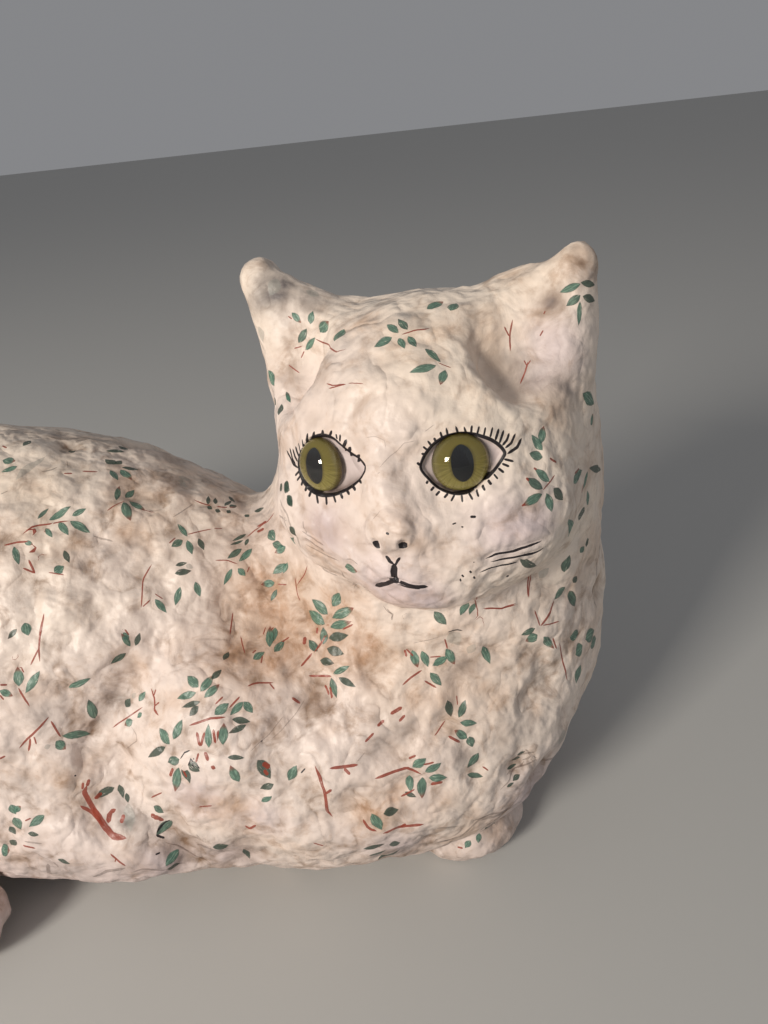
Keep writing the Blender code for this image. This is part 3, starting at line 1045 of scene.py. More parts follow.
FLANK = Sheet(
    corner=(0, 620),
    zoom=6.897,
    leaves=(
        (900, 180, 835, 85, 36), (870, 225, 760, 300, 38), (125, 465, 118, 320, 60),
        (170, 510, 275, 345, 52), (470, 490, 628, 400, 46), (0, 480, 90, 520, 44), (660, 690, 610, 550, 60),
        (425, 800, 630, 800, 52), (385, 840, 455, 890, 60), (945, 560, 985, 490, 32),
        (905, 690, 860, 725, 46), (965, 640, 935, 675, 24), (1375, 465, 1295, 385, 60),
        (1385, 495, 1480, 380, 50), (1410, 535, 1520, 440, 48), (1360, 500, 1220, 540, 46),
        (1480, 650, 1580, 570, 60), (1680, 560, 1585, 655, 46), (1680, 560, 1745, 640, 52),
        (1440, 880, 1440, 710, 50), (1540, 850, 1545, 700, 58), (1180, 850, 1100, 740, 58),
        (1205, 815, 1260, 680, 52), (1235, 960, 1155, 980, 58), (1235, 1010, 1205, 1185, 54),
        (1650, 1110, 1590, 980, 58), (1800, 1260, 1880, 1200, 32), (1060, 1280, 1125, 1335, 42),
        (1155, 1415, 1080, 1500, 60), (60, 1285, 100, 1350, 52), (85, 1335, 135, 1290, 40),
        (85, 1370, 140, 1450, 60), (300, 1350, 195, 1430, 52), (0, 1590, 60, 1600, 60),
        (1225, 1630, 1140, 1705, 50), (1860, 180, 1860, 30, 50), (1890, 215, 1960, 130, 46),
        (1745, 268, 1825, 210, 44),
    ),
    dark_leaves=(
        (1150, 865, 1020, 945, 48), (1460, 410, 1530, 340, 38), (1385, 560, 1255, 600, 36),
        (1370, 590, 1310, 660, 46), (1600, 680, 1730, 702, 42), (1700, 720, 1575, 775, 38),
        (1300, 980, 1385, 1030, 60), (1260, 1000, 1315, 1115, 46), (1570, 930, 1690, 935, 30),
        (1775, 965, 1870, 1085, 74), (1890, 1120, 1790, 1170, 42), (860, 600, 890, 540, 40),
        (935, 175, 965, 85, 36), (790, 1150, 650, 1240, 52), (820, 1130, 850, 1230, 40),
        (870, 1190, 882, 1262, 30), (50, 1440, 100, 1490, 42), (190, 1470, 270, 1480, 30),
        (60, 1570, 100, 1530, 50), (400, 1640, 490, 1668, 26), (1150, 1722, 1240, 1722, 20),
        (1460, 1580, 1572, 1582, 42), (1625, 1670, 1700, 1710, 24), (1670, 1640, 1720, 1690, 18),
        (1880, 1650, 1790, 1700, 40), (1760, 1740, 1860, 1742, 20), (1540, 270, 1580, 195, 36),
    ),
    pale_leaves=((900, 540, 925, 500, 26), (305, 880, 350, 865, 28), (880, 1260, 895, 1460, 70)),
    twigs=(
        (14, 285, 0, 272, 100, 266, 200, 275, 290), (12, 266, 195, 205, 315), (10, 845, 60, 880, 105),
        (9, 120, 320, 135, 300, 160, 370), (13, 120, 470, 205, 595), (13, 0, 445, 50, 445),
        (12, 0, 510, 30, 545), (16, 130, 885, 210, 800, 340, 665), (16, 205, 820, 190, 915),
        (13, 235, 800, 246, 865), (15, 350, 695, 420, 810), (14, 0, 945, 45, 920), (10, 780, 740, 970, 600),
        (10, 1020, 465, 1045, 540, 1050, 620, 1085, 660), (9, 1060, 475, 1040, 520),
        (9, 1075, 565, 1050, 590), (12, 1485, 580, 1540, 525), (14, 1580, 605, 1655, 525),
        (17, 1305, 725, 1450, 675, 1560, 665), (20, 1355, 770, 1380, 870), (18, 1410, 770, 1385, 870),
        (20, 1475, 745, 1490, 840), (16, 1510, 750, 1495, 840), (20, 1190, 1020, 1175, 1075),
        (14, 1255, 1000, 1290, 1080), (15, 1365, 920, 1355, 975), (26, 1410, 910, 1440, 960),
        (28, 1465, 1000, 1490, 990), (34, 1810, 990, 1860, 1020), (24, 1820, 1030, 1850, 1060),
        (11, 1045, 1220, 1120, 1185), (30, 1040, 1335, 1115, 1400), (15, 1370, 1295, 1465, 1270),
        (12, 1680, 1440, 1715, 1455, 1765, 1415), (44, 640, 1300, 720, 1420, 780, 1490, 870, 1505),
        (34, 600, 1130, 580, 1190, 640, 1300, 700, 1400), (24, 555, 1290, 640, 1335, 720, 1420),
        (24, 615, 1090, 600, 1140), (18, 572, 1112, 568, 1165), (26, 655, 1242, 700, 1195),
        (34, 745, 1400, 755, 1325, 800, 1300), (28, 830, 1400, 855, 1340), (10, 165, 1392, 205, 1375),
        (11, 150, 1560, 240, 1580), (11, 760, 1605, 800, 1640, 870, 1690), (9, 800, 1640, 795, 1660),
        (13, 1705, 455, 1760, 430, 1890, 425), (11, 1860, 430, 1895, 475), (9, 1740, 225, 1765, 200),
        (10, 1800, 295, 1810, 240), (8, 1655, 90, 1690, 230), (9, 1815, 90, 1830, 35),
    ),
    inks=(
        (8, 1240, 960, 1270, 910, 1305, 905), (9, 1300, 1000, 1320, 940, 1345, 1010),
        (9, 1330, 950, 1385, 1010), (12, 1082, 1480, 1100, 1430, 1150, 1408), (16, 1080, 1492, 1135, 1518),
        (9, 1070, 1635, 1105, 1625), (12, 512, 1068, 526, 1070), (8, 1797, 833, 1812, 828),
    ),
    stains_and_shade_lines=(
        (12, 160, 1530, 290, 1545), (11, 230, 1640, 330, 1660, 400, 1720), (14, 320, 1700, 350, 1750),
        (14, 640, 1750, 800, 1710, 870, 1700), (12, 1340, 1600, 1440, 1602, 1540, 1652),
        (7, 1345, 1490, 1390, 1570), (8, 1170, 1575, 1300, 1650, 1450, 1700, 1600, 1712),
        (7, 900, 1730, 1000, 1715, 1280, 1722),
    ),
    cracks=(
        (6, 1960, 660, 1850, 800, 1790, 835, 1720, 900), (5, 900, 730, 960, 820, 850, 900),
        (6, 1130, 1540, 1180, 1580, 1300, 1650),
    ),
)
BREAST = Sheet(
    corner=(270, 590),
    zoom=6.896,
    leaves=(
        (405, 165, 290, 60, 60), (385, 232, 255, 140, 66), (430, 190, 580, 120, 62),
        (415, 255, 562, 215, 56), (430, 110, 475, 20, 60), (365, 375, 370, 250, 52),
        (325, 422, 265, 340, 50), (430, 575, 550, 520, 40), (415, 600, 447, 747, 52),
        (1130, 150, 1218, 236, 60), (1370, 85, 1310, 176, 44), (1420, 80, 1375, 172, 34),
        (1475, 400, 1530, 527, 52), (1215, 415, 1280, 532, 56), (1225, 475, 1120, 532, 50),
        (975, 430, 1020, 547, 56), (1045, 430, 1092, 542, 52), (1105, 575, 1187, 667, 52),
        (1300, 880, 1360, 765, 44), (1310, 912, 1432, 922, 44), (1370, 1025, 1270, 965, 52),
        (1380, 1010, 1402, 1087, 52), (1440, 1120, 1375, 1242, 46), (1370, 1285, 1477, 1290, 36),
        (985, 1240, 1080, 1160, 58), (1070, 1265, 1182, 1190, 52), (1095, 1310, 1227, 1300, 52),
        (1055, 1305, 1050, 1442, 58), (965, 1300, 975, 1400, 52), (125, 1322, 182, 1210, 60),
        (700, 1530, 772, 1642, 62), (1380, 1720, 1345, 1782, 40), (1440, 1668, 1432, 1740, 36),
    ),
    dark_leaves=(
        (400, 330, 545, 308, 60), (390, 400, 512, 440, 62), (340, 480, 442, 505, 50),
        (470, 600, 592, 667, 42), (1225, 760, 1252, 882, 52), (930, 1400, 1012, 1432, 32),
        (780, 1532, 887, 1510, 52), (1480, 1630, 1552, 1610, 32), (640, 1772, 792, 1745, 26),
        (820, 1755, 902, 1745, 30), (680, 1832, 802, 1790, 22), (740, 1872, 902, 1800, 20),
    ),
    pale_leaves=((1240, 290, 1310, 400, 96), (1370, 450, 1420, 380, 52)),
    twigs=(
        (14, 300, 430, 390, 300, 410, 190), (16, 320, 300, 326, 255), (24, 235, 375, 242, 320),
        (14, 210, 525, 290, 430), (17, 260, 585, 420, 590), (13, 500, 270, 572, 235),
        (17, 365, 650, 387, 722), (16, 400, 660, 406, 747), (20, 150, 735, 206, 776),
        (10, 80, 350, 132, 320), (10, 1465, 125, 1600, 130, 1700, 90), (12, 1205, 340, 1226, 420),
        (9, 1100, 475, 1182, 470), (17, 920, 430, 936, 476), (12, 930, 425, 986, 470),
        (14, 910, 660, 980, 600, 1050, 560), (14, 1065, 630, 1152, 680), (9, 1300, 740, 1300, 800),
        (20, 1230, 1005, 1322, 1055), (26, 830, 855, 912, 805), (19, 890, 905, 932, 860),
        (22, 740, 940, 787, 895), (19, 655, 1055, 717, 985), (9, 1135, 1005, 1217, 910),
        (19, 955, 1175, 1012, 1145), (14, 1060, 1210, 1132, 1185),
        (21, 720, 1305, 840, 1265, 950, 1245, 1050, 1285), (18, 1110, 1350, 1196, 1335),
        (13, 900, 1430, 1002, 1380), (24, 310, 1200, 345, 1270, 375, 1390, 395, 1540, 430, 1580),
        (20, 380, 1410, 427, 1365), (23, 410, 1225, 500, 1220, 612, 1210), (21, 510, 1230, 552, 1275),
        (19, 640, 1575, 680, 1630, 737, 1650), (19, 775, 1665, 900, 1630, 1062, 1605),
        (14, 900, 1630, 937, 1610), (9, 1470, 1220, 1502, 1240), (12, 1290, 1772, 1330, 1782),
        (9, 300, 1720, 372, 1750), (8, 1410, 210, 1440, 165, 1430, 50),
    ),
    inks=((8, 1225, 290, 1280, 275, 1332, 287), (11, 210, 1265, 242, 1230)),
    stains_and_shade_lines=(
        (14, 1150, 1642, 1300, 1625), (12, 1130, 1760, 1300, 1700, 1450, 1570, 1640, 1480),
        (9, 1390, 1590, 1600, 1510, 1740, 1440), (9, 1180, 1742, 1340, 1690),
        (8, 1400, 1680, 1560, 1560, 1720, 1400), (7, 1580, 1380, 1700, 1250, 1840, 1150),
    ),
    cracks=(
        (6, 0, 1040, 80, 970, 170, 860, 240, 740), (6, 600, 1190, 660, 1130),
        (6, 780, 100, 810, 150, 860, 150, 830, 200), (5, 980, 385, 1080, 350, 1180, 320),
    ),
)


@dataclass(frozen=True)
class BrushMark:
    """One mark on the skin: its kind, its points and its half width, in millimetres."""

    kind: Mark
    line: Points
    half: float
    random: float
    normal: Points


@dataclass
class MarkPainter:
    """Lays brush marks on a mesh as numbers that its paint reads."""

    shell: Shell
    layers: int = MARK_LAYERS
    margin: float = 1.25
    leaf_swell: float = 1.15
    widest_slant: float = 2.2
    sprig_gap: float = 23.0
    sprig_tries: int = 9000
    sprig_clear: float = 15.0
    sprig_floor: float = 7.0
    overhang: float = -0.55

    def __post_init__(self) -> None:
        """Makes the search trees."""
        corners = self.shell.points[self.shell.triangles]
        self.corners = corners
        self.middles = corners.mean(axis=1)
        flat = np.cross(corners[:, 1] - corners[:, 0], corners[:, 2] - corners[:, 0])
        self.facing = flat / np.maximum(np.linalg.norm(flat, axis=1, keepdims=True), 1e-12)
        self.reach = np.linalg.norm(corners - self.middles[:, None], axis=2).max(axis=1)
        self.tree = BVHTree.FromPolygons(self.shell.points.tolist(), self.shell.triangles.tolist())
        self.near = KDTree(len(self.middles))
        for number, middle in enumerate(self.middles):
            self.near.insert(middle, number)
        self.near.balance()
        self.used = np.zeros(len(self.middles), int)
        self.values = np.tile((FAR, FAR, 0.0), (self.layers, len(self.middles), 3, 1))
        self.random = np.random.default_rng(SEED)
        self.missed = 0
        self.crowded = 0

    def seen(self, view: Viewpoint, spot: Spot) -> tuple[Points, Points] | None:
        """The place and outward direction that a spot of the picture shows, if any."""
        place, normal, _, _ = self.tree.ray_cast(Vector(view.place), view.ray(spot))
        return None if place is None else (np.array(place), np.array(normal))

    def read_sheet(self, view: Viewpoint, sheet: Sheet) -> None:
        """Paints every mark of a sheet.

        Args:
            view: Where the picture is taken from.
            sheet: The marks.
        """
        for kind, width, spots in sheet.marks():
            hits = [self.seen(view, spot) for spot in spots]
            hits = [hit for hit in hits if hit is not None]
            if len(hits) < 2:
                self.missed += 1
                continue
            line = np.array([place for place, _ in hits])
            half = self.true_half(view, spots, width, float(view.depth(line).mean()) / view.focus)
            half *= self.leaf_swell if kind.value < Mark.TWIG.value else 1.0
            self.paint(BrushMark(kind, line, half, self.random.uniform(0.05, 0.95), mean_direction(hits)))

    def true_half(self, view: Viewpoint, spots: list[Spot], width: float, scale: float) -> float:
        """Half a mark's width on the skin, which may be seen aslant.

        Args:
            view: Where it is seen from.
            spots: Its points in the picture.
            width: Its width in the picture, in pixels.
            scale: Millimetres to a pixel there.

        Returns:
            Half its real width, in millimetres.
        """
        plain = width / 2 * scale
        (x0, y0), (x1, y1) = spots[len(spots) // 2 - 1 : len(spots) // 2 + 1]
        reach = max(math.hypot(x1 - x0, y1 - y0), 1e-6)
        aside = (-(y1 - y0) / reach * width / 2, (x1 - x0) / reach * width / 2)
        middle = ((x0 + x1) / 2, (y0 + y1) / 2)
        ends = [
            self.seen(view, (middle[0] + sign * aside[0], middle[1] + sign * aside[1])) for sign in (1, -1)
        ]
        if None in ends:
            return plain
        return float(np.clip(np.linalg.norm(ends[0][0] - ends[1][0]) / 2, plain, self.widest_slant * plain))

    def scatter(self, view: Viewpoint) -> int:
        """Paints leaf sprigs where the picture doesn't show the skin.

        Args:
            view: Where the picture is taken from.

        Returns:
            How many sprigs were painted.
        """
        area = np.linalg.norm(
            np.cross(self.corners[:, 1] - self.corners[:, 0], self.corners[:, 2] - self.corners[:, 0]), axis=1
        )
        tried = self.random.choice(len(area), size=self.sprig_tries, p=area / area.sum())
        kept: list[Points] = []
        for face in tried:
            place, out = self.middles[face], self.facing[face]
            if place[2] < self.sprig_floor or out[2] < self.overhang:
                continue
            if kept and np.linalg.norm(np.array(kept) - place, axis=1).min() < self.sprig_gap:
                continue
            if any(self.shown(view, spot) for spot in self.around(place, out, self.sprig_clear)):
                continue
            kept.append(place)
            self.sprig(place, out)
        return len(kept)

    def around(self, place: Points, out: Points, reach: float) -> list[Points]:
        """A place on the skin and six more round it.

        Args:
            place: A place on the skin.
            out: The outward direction there.
            reach: How far away the others are.

        Returns:
            The seven places.
        """
        aside = np.cross(out, (0.6, 0.64, 0.48))
        aside /= max(float(np.linalg.norm(aside)), 1e-9)
        other = np.cross(out, aside)
        found = [place]
        for step in range(6):
            angle = step * math.pi / 3
            wanted = place + reach * (math.cos(angle) * aside + math.sin(angle) * other)
            found.append(np.array(self.tree.find_nearest(Vector(wanted))[0]))
        return found

    def shown(self, view: Viewpoint, place: Points) -> bool:
        """Whether the picture shows a place on the skin.

        Args:
            view: Where the picture is taken from.
            place: A place on the skin.

        Returns:
            True if nothing hides it and it is within the picture's left edge.
        """
        sight = place - np.array(view.place)
        reach = float(np.linalg.norm(sight))
        ahead = float(sight @ np.array(view.forward))
        if view.focus * float(sight @ np.array(view.right)) / ahead < -view.middle[0]:
            return False
        _, _, _, gap = self.tree.ray_cast(Vector(view.place), Vector(sight / reach))
        return gap is not None and gap > reach - 1.5

    def sprig(self, place: Points, out: Points) -> None:
        """Paints one sprig: a twig with leaves on both sides, or a few loose strokes.

        Args:
            place: Its foot.
            out: The outward direction there.
        """
        random = self.random
        angle = random.uniform(0, 2 * math.pi)
        flat = np.cross(out, (math.cos(angle), math.sin(angle), 0.31))
        way = flat / max(float(np.linalg.norm(flat)), 1e-9)
        side = np.cross(out, way)
        length = random.uniform(11, 23)
        bend = random.uniform(-0.16, 0.16)

        def spot(along: float, aside: float) -> tuple[Points, Points]:
            """A place on the skin, along and beside the sprig's foot."""
            found, normal, _, _ = self.tree.find_nearest(Vector(place + way * along + side * aside))
            return np.array(found), np.array(normal)

        def stroke(kind: Mark, half: float, flat_points: list[Spot]) -> None:
            """Paints a mark through places beside the sprig."""
            hits = [spot(*point) for point in flat_points]
            line = np.array([hit for hit, _ in hits])
            self.paint(BrushMark(kind, line, half, random.uniform(0.05, 0.95), mean_direction(hits)))

        if random.random() < 0.8:
            reach = length * random.uniform(0.5, 1.0)
            stroke(
                Mark.TWIG,
                random.uniform(0.28, 0.6),
                [(share * reach, bend * reach * share * share) for share in (0.0, 0.35, 0.7, 1.0)],
            )
        if random.random() < 0.3:
            stroke(Mark.TWIG, random.uniform(0.3, 0.5), [(length * 0.2, -3.0), (length * 0.5, -5.5)])
        plain = random.choice((Mark.LEAF, Mark.LEAF, Mark.LEAF, Mark.DARK_LEAF, Mark.PALE_LEAF))
        for number in range(int(random.integers(2, 8))):
            share = 0.25 + 0.8 * number / 7 + random.uniform(-0.04, 0.04)
            sign = 1 if number % 2 else -1
            foot = (share * length, bend * length * share * share + sign * 0.8)
            lean = random.uniform(0.5, 1.1) * sign
            leaf = random.uniform(4.6, 7.4)
            tip = (foot[0] + leaf * math.cos(lean), foot[1] + leaf * math.sin(lean))
            kind = plain if random.random() < 0.85 else Mark.DARK_LEAF
            stroke(kind, random.uniform(0.95, 1.45), [foot, tip])

    def paint(self, mark: BrushMark) -> None:
        """Gives a mark to the faces that it crosses.

        Args:
            mark: The mark.
        """
        line, found = mark.line, set()
        for start, end in zip(line[:-1], line[1:]):
            radius = float(np.linalg.norm(end - start)) / 2 + mark.half * self.margin + 2.2
            found |= {number for _, number, _ in self.near.find_range((start + end) / 2, radius)}
        if not found:
            return
        faces = np.array(sorted(found))
        faces = faces[self.facing[faces] @ mark.normal > 0.15]
        along, across = line_places(line, self.corners[faces].reshape(-1, 3), mark.normal)
        along, across = along.reshape(-1, 3), across.reshape(-1, 3) / mark.half
        length = np.linalg.norm(np.diff(line, axis=0), axis=1).sum()
        edge = self.margin
        crossed = (across.min(axis=1) < edge) & (across.max(axis=1) > -edge)
        crossed &= (along.min(axis=1) < 1.1) & (along.max(axis=1) > -1.1)
        crossed &= np.abs(across).min(axis=1) * mark.half < mark.half * edge + 2 * self.reach[faces]
        faces, along, across = faces[crossed], along[crossed], across[crossed]
        room = self.used[faces] < self.layers
        self.crowded += int((~room).sum())
        faces, along, across = faces[room], along[room], across[room]
        code = np.full(along.shape, mark.kind.value + mark.random)
        if len(faces) and length > 0:
            self.values[self.used[faces], faces] = np.stack((along, across, code), axis=2)
            self.used[faces] += 1

    def store(self, mesh: bpy.types.Mesh) -> None:
        """Puts the marks on a mesh with the same faces."""
        for number in range(self.layers):
            put_attribute(mesh, f"mark_{number}", "FLOAT_VECTOR", "CORNER", self.values[number])


def mean_direction(hits: list[tuple[Points, Points]]) -> Points:
    """The middle of several outward directions."""
    summed = np.sum([normal for _, normal in hits], axis=0)
    return summed / max(float(np.linalg.norm(summed)), 1e-9)


def line_places(line: Points, points: Points, normal: Points) -> tuple[Points, Points]:
    """Where points are along and across a line on the skin.

    Args:
        line: The line's points.
        points: The points to measure.
        normal: The outward direction there.

    Returns:
        From -1 to 1 along the line, and millimetres across it.
    """
    lengths = np.linalg.norm(np.diff(line, axis=0), axis=1)
    total = lengths.sum()
    best = np.full(len(points), 1e9)
    along, across = np.zeros(len(points)), np.zeros(len(points))
    passed = 0.0
    for number, (start, end, length) in enumerate(zip(line[:-1], line[1:], lengths)):
        if length < 1e-6:
            continue
        way = (end - start) / length
        side = np.cross(normal, way)
        side /= max(float(np.linalg.norm(side)), 1e-9)
        run, off = (points - start) @ way, (points - start) @ side
        low = -1e9 if number == 0 else 0.0
        high = 1e9 if number == len(lengths) - 1 else length
        held = np.clip(run, low, high)
        gap = np.hypot(off, run - held)
        nearer = gap < best
        best = np.where(nearer, gap, best)
        along = np.where(nearer, -1 + 2 * (passed + held) / total, along)
        across = np.where(nearer, np.where(off < 0, -gap, gap), across)
        passed += length
    return along, across


# finishes


@dataclass(frozen=True)
class PaintedPaper:
    """Cream paint on papier-mache, with leaf sprigs, black face lines, the soiling of years, and painted
    shade in creases, in the ear hollows and low on the body.
    """

    layers: int = MARK_LAYERS
    cream: tuple = ink(240, 224, 208)
    # pinkish colour for random tone, also used as painted shade on the shaded side of the head and low on the
    # body
    rosy: tuple = ink(218, 200, 200)
    tan: tuple = ink(200, 162, 130)
    rust: tuple = ink(164, 118, 90)
    # brownish colour for grime in the dents and folds, also laid on low down as painted shade
    grime_and_shade: tuple = ink(132, 104, 82)
    # greyish colour for grey paint marks, also used as painted shade in creases, grooves and the ear hollows
    soot_and_shade: tuple = ink(116, 108, 106)
    bare: tuple = ink(206, 190, 186)
    leaf: tuple = ink(58, 100, 86)
    leaf_light: tuple = ink(110, 148, 128)
    leaf_dark: tuple = ink(44, 60, 50)
    leaf_pale: tuple = ink(150, 150, 142)
    twig: tuple = ink(146, 62, 44)
    black: tuple = ink(30, 24, 28)
    # dark brown for flecks, cracks and stain lines; on the stain lines and in the lower part of the eye
    # openings it is painted shade
    stain_and_shade: tuple = ink(88, 66, 56)
    bump: float = 0.9
    bump_reach: float = 0.001
    shine: float = 0.42

    def material(self) -> bpy.types.Material:
        """Makes the paint.

        Returns:
            The material.
        """
        made, bench, shader = new_material("painted_paper")
        where = bench.node("ShaderNodeTexCoord").outputs["Object"]
        base, rough, height = self.ground(bench, where)
        for number in range(self.layers):
            base, cover = self.mark(bench, base, where, number)
            rough = rough - 0.08 * cover
            height = height + 0.05 * cover
        bump_values = {"Strength": self.bump, "Distance": self.bump_reach, "Height": height}
        bump = bench.node("ShaderNodeBump", values=bump_values)
        for name, value in (("Base Color", base), ("Roughness", rough), ("Normal", bump.outputs[0])):
            bench.tree.links.new(value.socket if isinstance(value, Amount) else value, shader.inputs[name])
        shader.inputs["Specular IOR Level"].default_value = self.shine
        return made

    def attribute(self, bench: Bench, name: str) -> bpy.types.Node:
        """Reads numbers that the mesh carries."""
        return bench.node("ShaderNodeAttribute", {"attribute_name": name})

    def parts(self, bench: Bench, socket: bpy.types.NodeSocket) -> list[Amount]:
        """The three numbers of a vector."""
        split = bench.node("ShaderNodeSeparateXYZ", values={0: socket})
        return [Amount(bench, output) for output in split.outputs]

    def ground(
        self, bench: Bench, where: bpy.types.NodeSocket
    ) -> tuple[bpy.types.NodeSocket, Amount, Amount]:
        """The paint without its marks: colour, roughness and height.

        Args:
            bench: The material's tree.
            where: The surface's own coordinates.

        Returns:
            The three as sockets and amounts.
        """
        broad = bench.noise(where, 0.09, 2, 0.5, 0.3)
        cloud = bench.noise(where, 0.028, 5, 0.62, 0.8, 3.0)
        mottle = bench.noise(where, 0.0075, 5, 0.68, 0.6, 7.0)
        speck = bench.noise(where, 0.0016, 3, 0.6, 0.0, 9.0)
        pulp = bench.noise(where, 0.0072, 2, 0.45, 0.2, 13.0)
        fold = abs(bench.noise(where, 0.011, 2, 0.45, 0.4, 17.0) - 0.5)
        warm, grey, rose = self.parts(bench, self.attribute(bench, "smudge").outputs["Vector"])
        hollow = Amount(bench, self.attribute(bench, "hollow").outputs["Fac"])
        up = self.parts(bench, where)[2]
        # painted shade towards the bottom: the lowest 5 cm or so turn pinker and, with the mottle, darker
        low = bench.eased(up, 0.05, 0.004)
        # pinkish share: a broad random tone, plus the rosy patches, which are partly painted shade, and the
        # painted shade towards the bottom
        share = bench.eased(broad, 0.42, 0.66) * 0.45 + rose * 0.9 + low * 0.5
        colour = bench.blend(self.cream, self.rosy, share)
        plain = Amount(bench, self.attribute(bench, "rough_share").outputs["Fac"]) * 0.5 + 0.5
        tan = bench.eased(cloud, 0.5, 0.7) * 0.34 + bench.eased(mottle, 0.5, 0.68) * 0.24
        colour = bench.blend(colour, self.tan, tan + warm * (mottle * 1.3 + cloud - 0.35) * 0.72)
        rusty = bench.eased(warm + 1.2 * (cloud - 0.5) + 1.6 * (mottle - 0.5), 0.7, 1.3)
        colour = bench.blend(colour, self.rust, rusty * 0.4)
        valley = bench.eased(fold, 0.06, 0.0) * bench.eased(mottle, 0.38, 0.6)
        # darker in the dents, along the fold valleys, where the pulp's grain is low and in a random mottle;
        # the last term adds painted shade towards the bottom
        dirt_and_shade = bench.eased(hollow + 1.8 * (mottle - 0.5), 0.2, 1.3) * 0.42 + valley * 0.3
        dirt_and_shade = dirt_and_shade + bench.eased(pulp, 0.46, 0.3) * 0.34 + bench.eased(mottle, 0.52, 0.7) * 0.2
        dirt_and_shade = dirt_and_shade + bench.eased(speck, 0.5, 0.75) * 0.12 + low * mottle * 0.3
        colour = bench.blend(colour, self.grime_and_shade, dirt_and_shade * plain)
        # grey patches: grey paint marks, and painted shade in the creases, the grooves, the pit by the elbow
        # and the ear hollows
        colour = bench.blend(colour, self.soot_and_shade, grey * (mottle * 1.5 + cloud - 0.35) * 1.1)
        flecks = bench.eased(speck, 0.70, 0.76) * bench.eased(cloud, 0.5, 0.62)
        colour = bench.blend(colour, self.stain_and_shade, 0.6 * flecks)
        lids, liner, shade = self.parts(bench, self.attribute(bench, "lids").outputs["Vector"])
        inside = bench.eased(lids, 0.1, -0.25)
        colour = bench.blend(colour, self.bare, inside)
        colour = bench.blend(colour, self.stain_and_shade, inside * shade * (0.35 + 0.7 * mottle))
        ragged = 0.25 * (bench.noise(where, 0.0022, 2, 0.5, 0, 31.0) - 0.5)
        line = bench.eased(abs(lids - 0.45 * liner + ragged * liner) - 0.55 * liner, 0.1, -0.05)
        colour = bench.blend(colour, self.black, line * bench.eased(liner, 0.02, 0.1))
        rough = 0.47 + 0.16 * mottle - 0.1 * bench.eased(broad, 0.4, 0.6) + 0.1 * dirt_and_shade
        height = pulp * 3.1 + fold * 3.2 + mottle * 0.36 + speck * 0.14
        return colour, rough, height

    def mark(
        self, bench: Bench, base: bpy.types.NodeSocket, where: bpy.types.NodeSocket, number: int
    ) -> tuple[bpy.types.NodeSocket, Amount]:
        """Lays one layer of brush marks over a colour.

        Args:
            bench: The material's tree.
            base: The colour below.
            where: The surface's own coordinates.
            number: Which layer.

        Returns:
            The new colour, and how much of it is covered.
        """
        socket = self.attribute(bench, f"mark_{number}").outputs["Vector"]
        along, across, code = self.parts(bench, socket)
        kind = code.floor()
        chance = code - kind
        grain = bench.noise(where, 0.0011, 3, 0.6, 0, 5.0 + number)
        wave = bench.noise(where, 0.004, 2, 0.5, 0, 15.0 + number)
        is_leaf = kind < 2.5
        belly = (1.0 - along * along) * (1.0 - 0.22 * along)
        blunt = 1.0 - abs(along) ** 5.0
        width = is_leaf * belly + (1.0 - is_leaf) * blunt * (0.85 + 0.5 * wave)
        edge = width.held() - abs(across) + 0.35 * (grain - 0.5)
        cover = bench.eased(edge, -0.06, 0.16) * (abs(along) < 1.02)
        streak_at = bench.stretched(socket, (0.9, 3.2, 7.0))
        streak = bench.node("ShaderNodeTexNoise", values={"Vector": streak_at, "Scale": 1.6, "Detail": 3.0})
        brushed = Amount(bench, streak.outputs[0])
        green = bench.blend(self.leaf, self.leaf_light, bench.eased(brushed, 0.42, 0.66))
        rim = bench.eased(edge, 0.34, 0.02) * 0.6
        green = bench.blend(green, self.leaf_dark, rim + bench.eased(chance, 0.6, 1.0) * 0.5)
        tip = bench.eased(along, 0.3, 0.9) * (chance < 0.22)
        green = bench.blend(green, self.twig, 0.85 * tip)
        colour = bench.blend(green, self.leaf_dark, 0.85 * (kind > 0.5))
        colour = bench.blend(colour, self.leaf_pale, 0.9 * (kind > 1.5))
        colour = bench.blend(colour, self.twig, kind > 2.5)
        colour = bench.blend(colour, self.black, kind > 3.5)
        # stain lines and cracks take the dark brown; the stain lines are partly painted shade along creases
        colour = bench.blend(colour, self.stain_and_shade, kind > 4.5)
        worn = 1.0 - bench.eased(brushed + 0.5 * (grain - 0.5), 0.63, 0.78) * 0.75
        solid = (kind > 3.5) * (kind < 4.5)
        strength = worn * (0.92 - 0.5 * ((kind > 1.5) * (kind < 2.5)))
        strength = strength - 0.52 * (kind > 4.5) * (0.4 + grain) - 0.05 * (kind > 5.5)
        strength = strength * (1.0 - solid) + solid * (0.99 - 0.2 * bench.eased(brushed, 0.66, 0.8))
        cover = (cover * strength).held()
        return bench.blend(base, colour, cover), cover


@dataclass(frozen=True)
class EyeGlass:
    """Clear polished glass."""

    tint: tuple = (0.97, 0.98, 0.94, 1.0)
    bending: float = 1.42

    def material(self) -> bpy.types.Material:
        """Makes the glass.

        Returns:
            The material.
        """
        made, bench, shader = new_material("eye_glass")
        where = bench.node("ShaderNodeTexCoord").outputs["Object"]
        film = bench.noise(where, 0.004, 2)
        rough = 0.015 + 0.03 * film
        bench.tree.links.new(rough.socket, shader.inputs["Roughness"])
        shader.inputs["Base Color"].default_value = self.tint
        shader.inputs["Transmission Weight"].default_value = 1.0
        shader.inputs["IOR"].default_value = self.bending
        return made


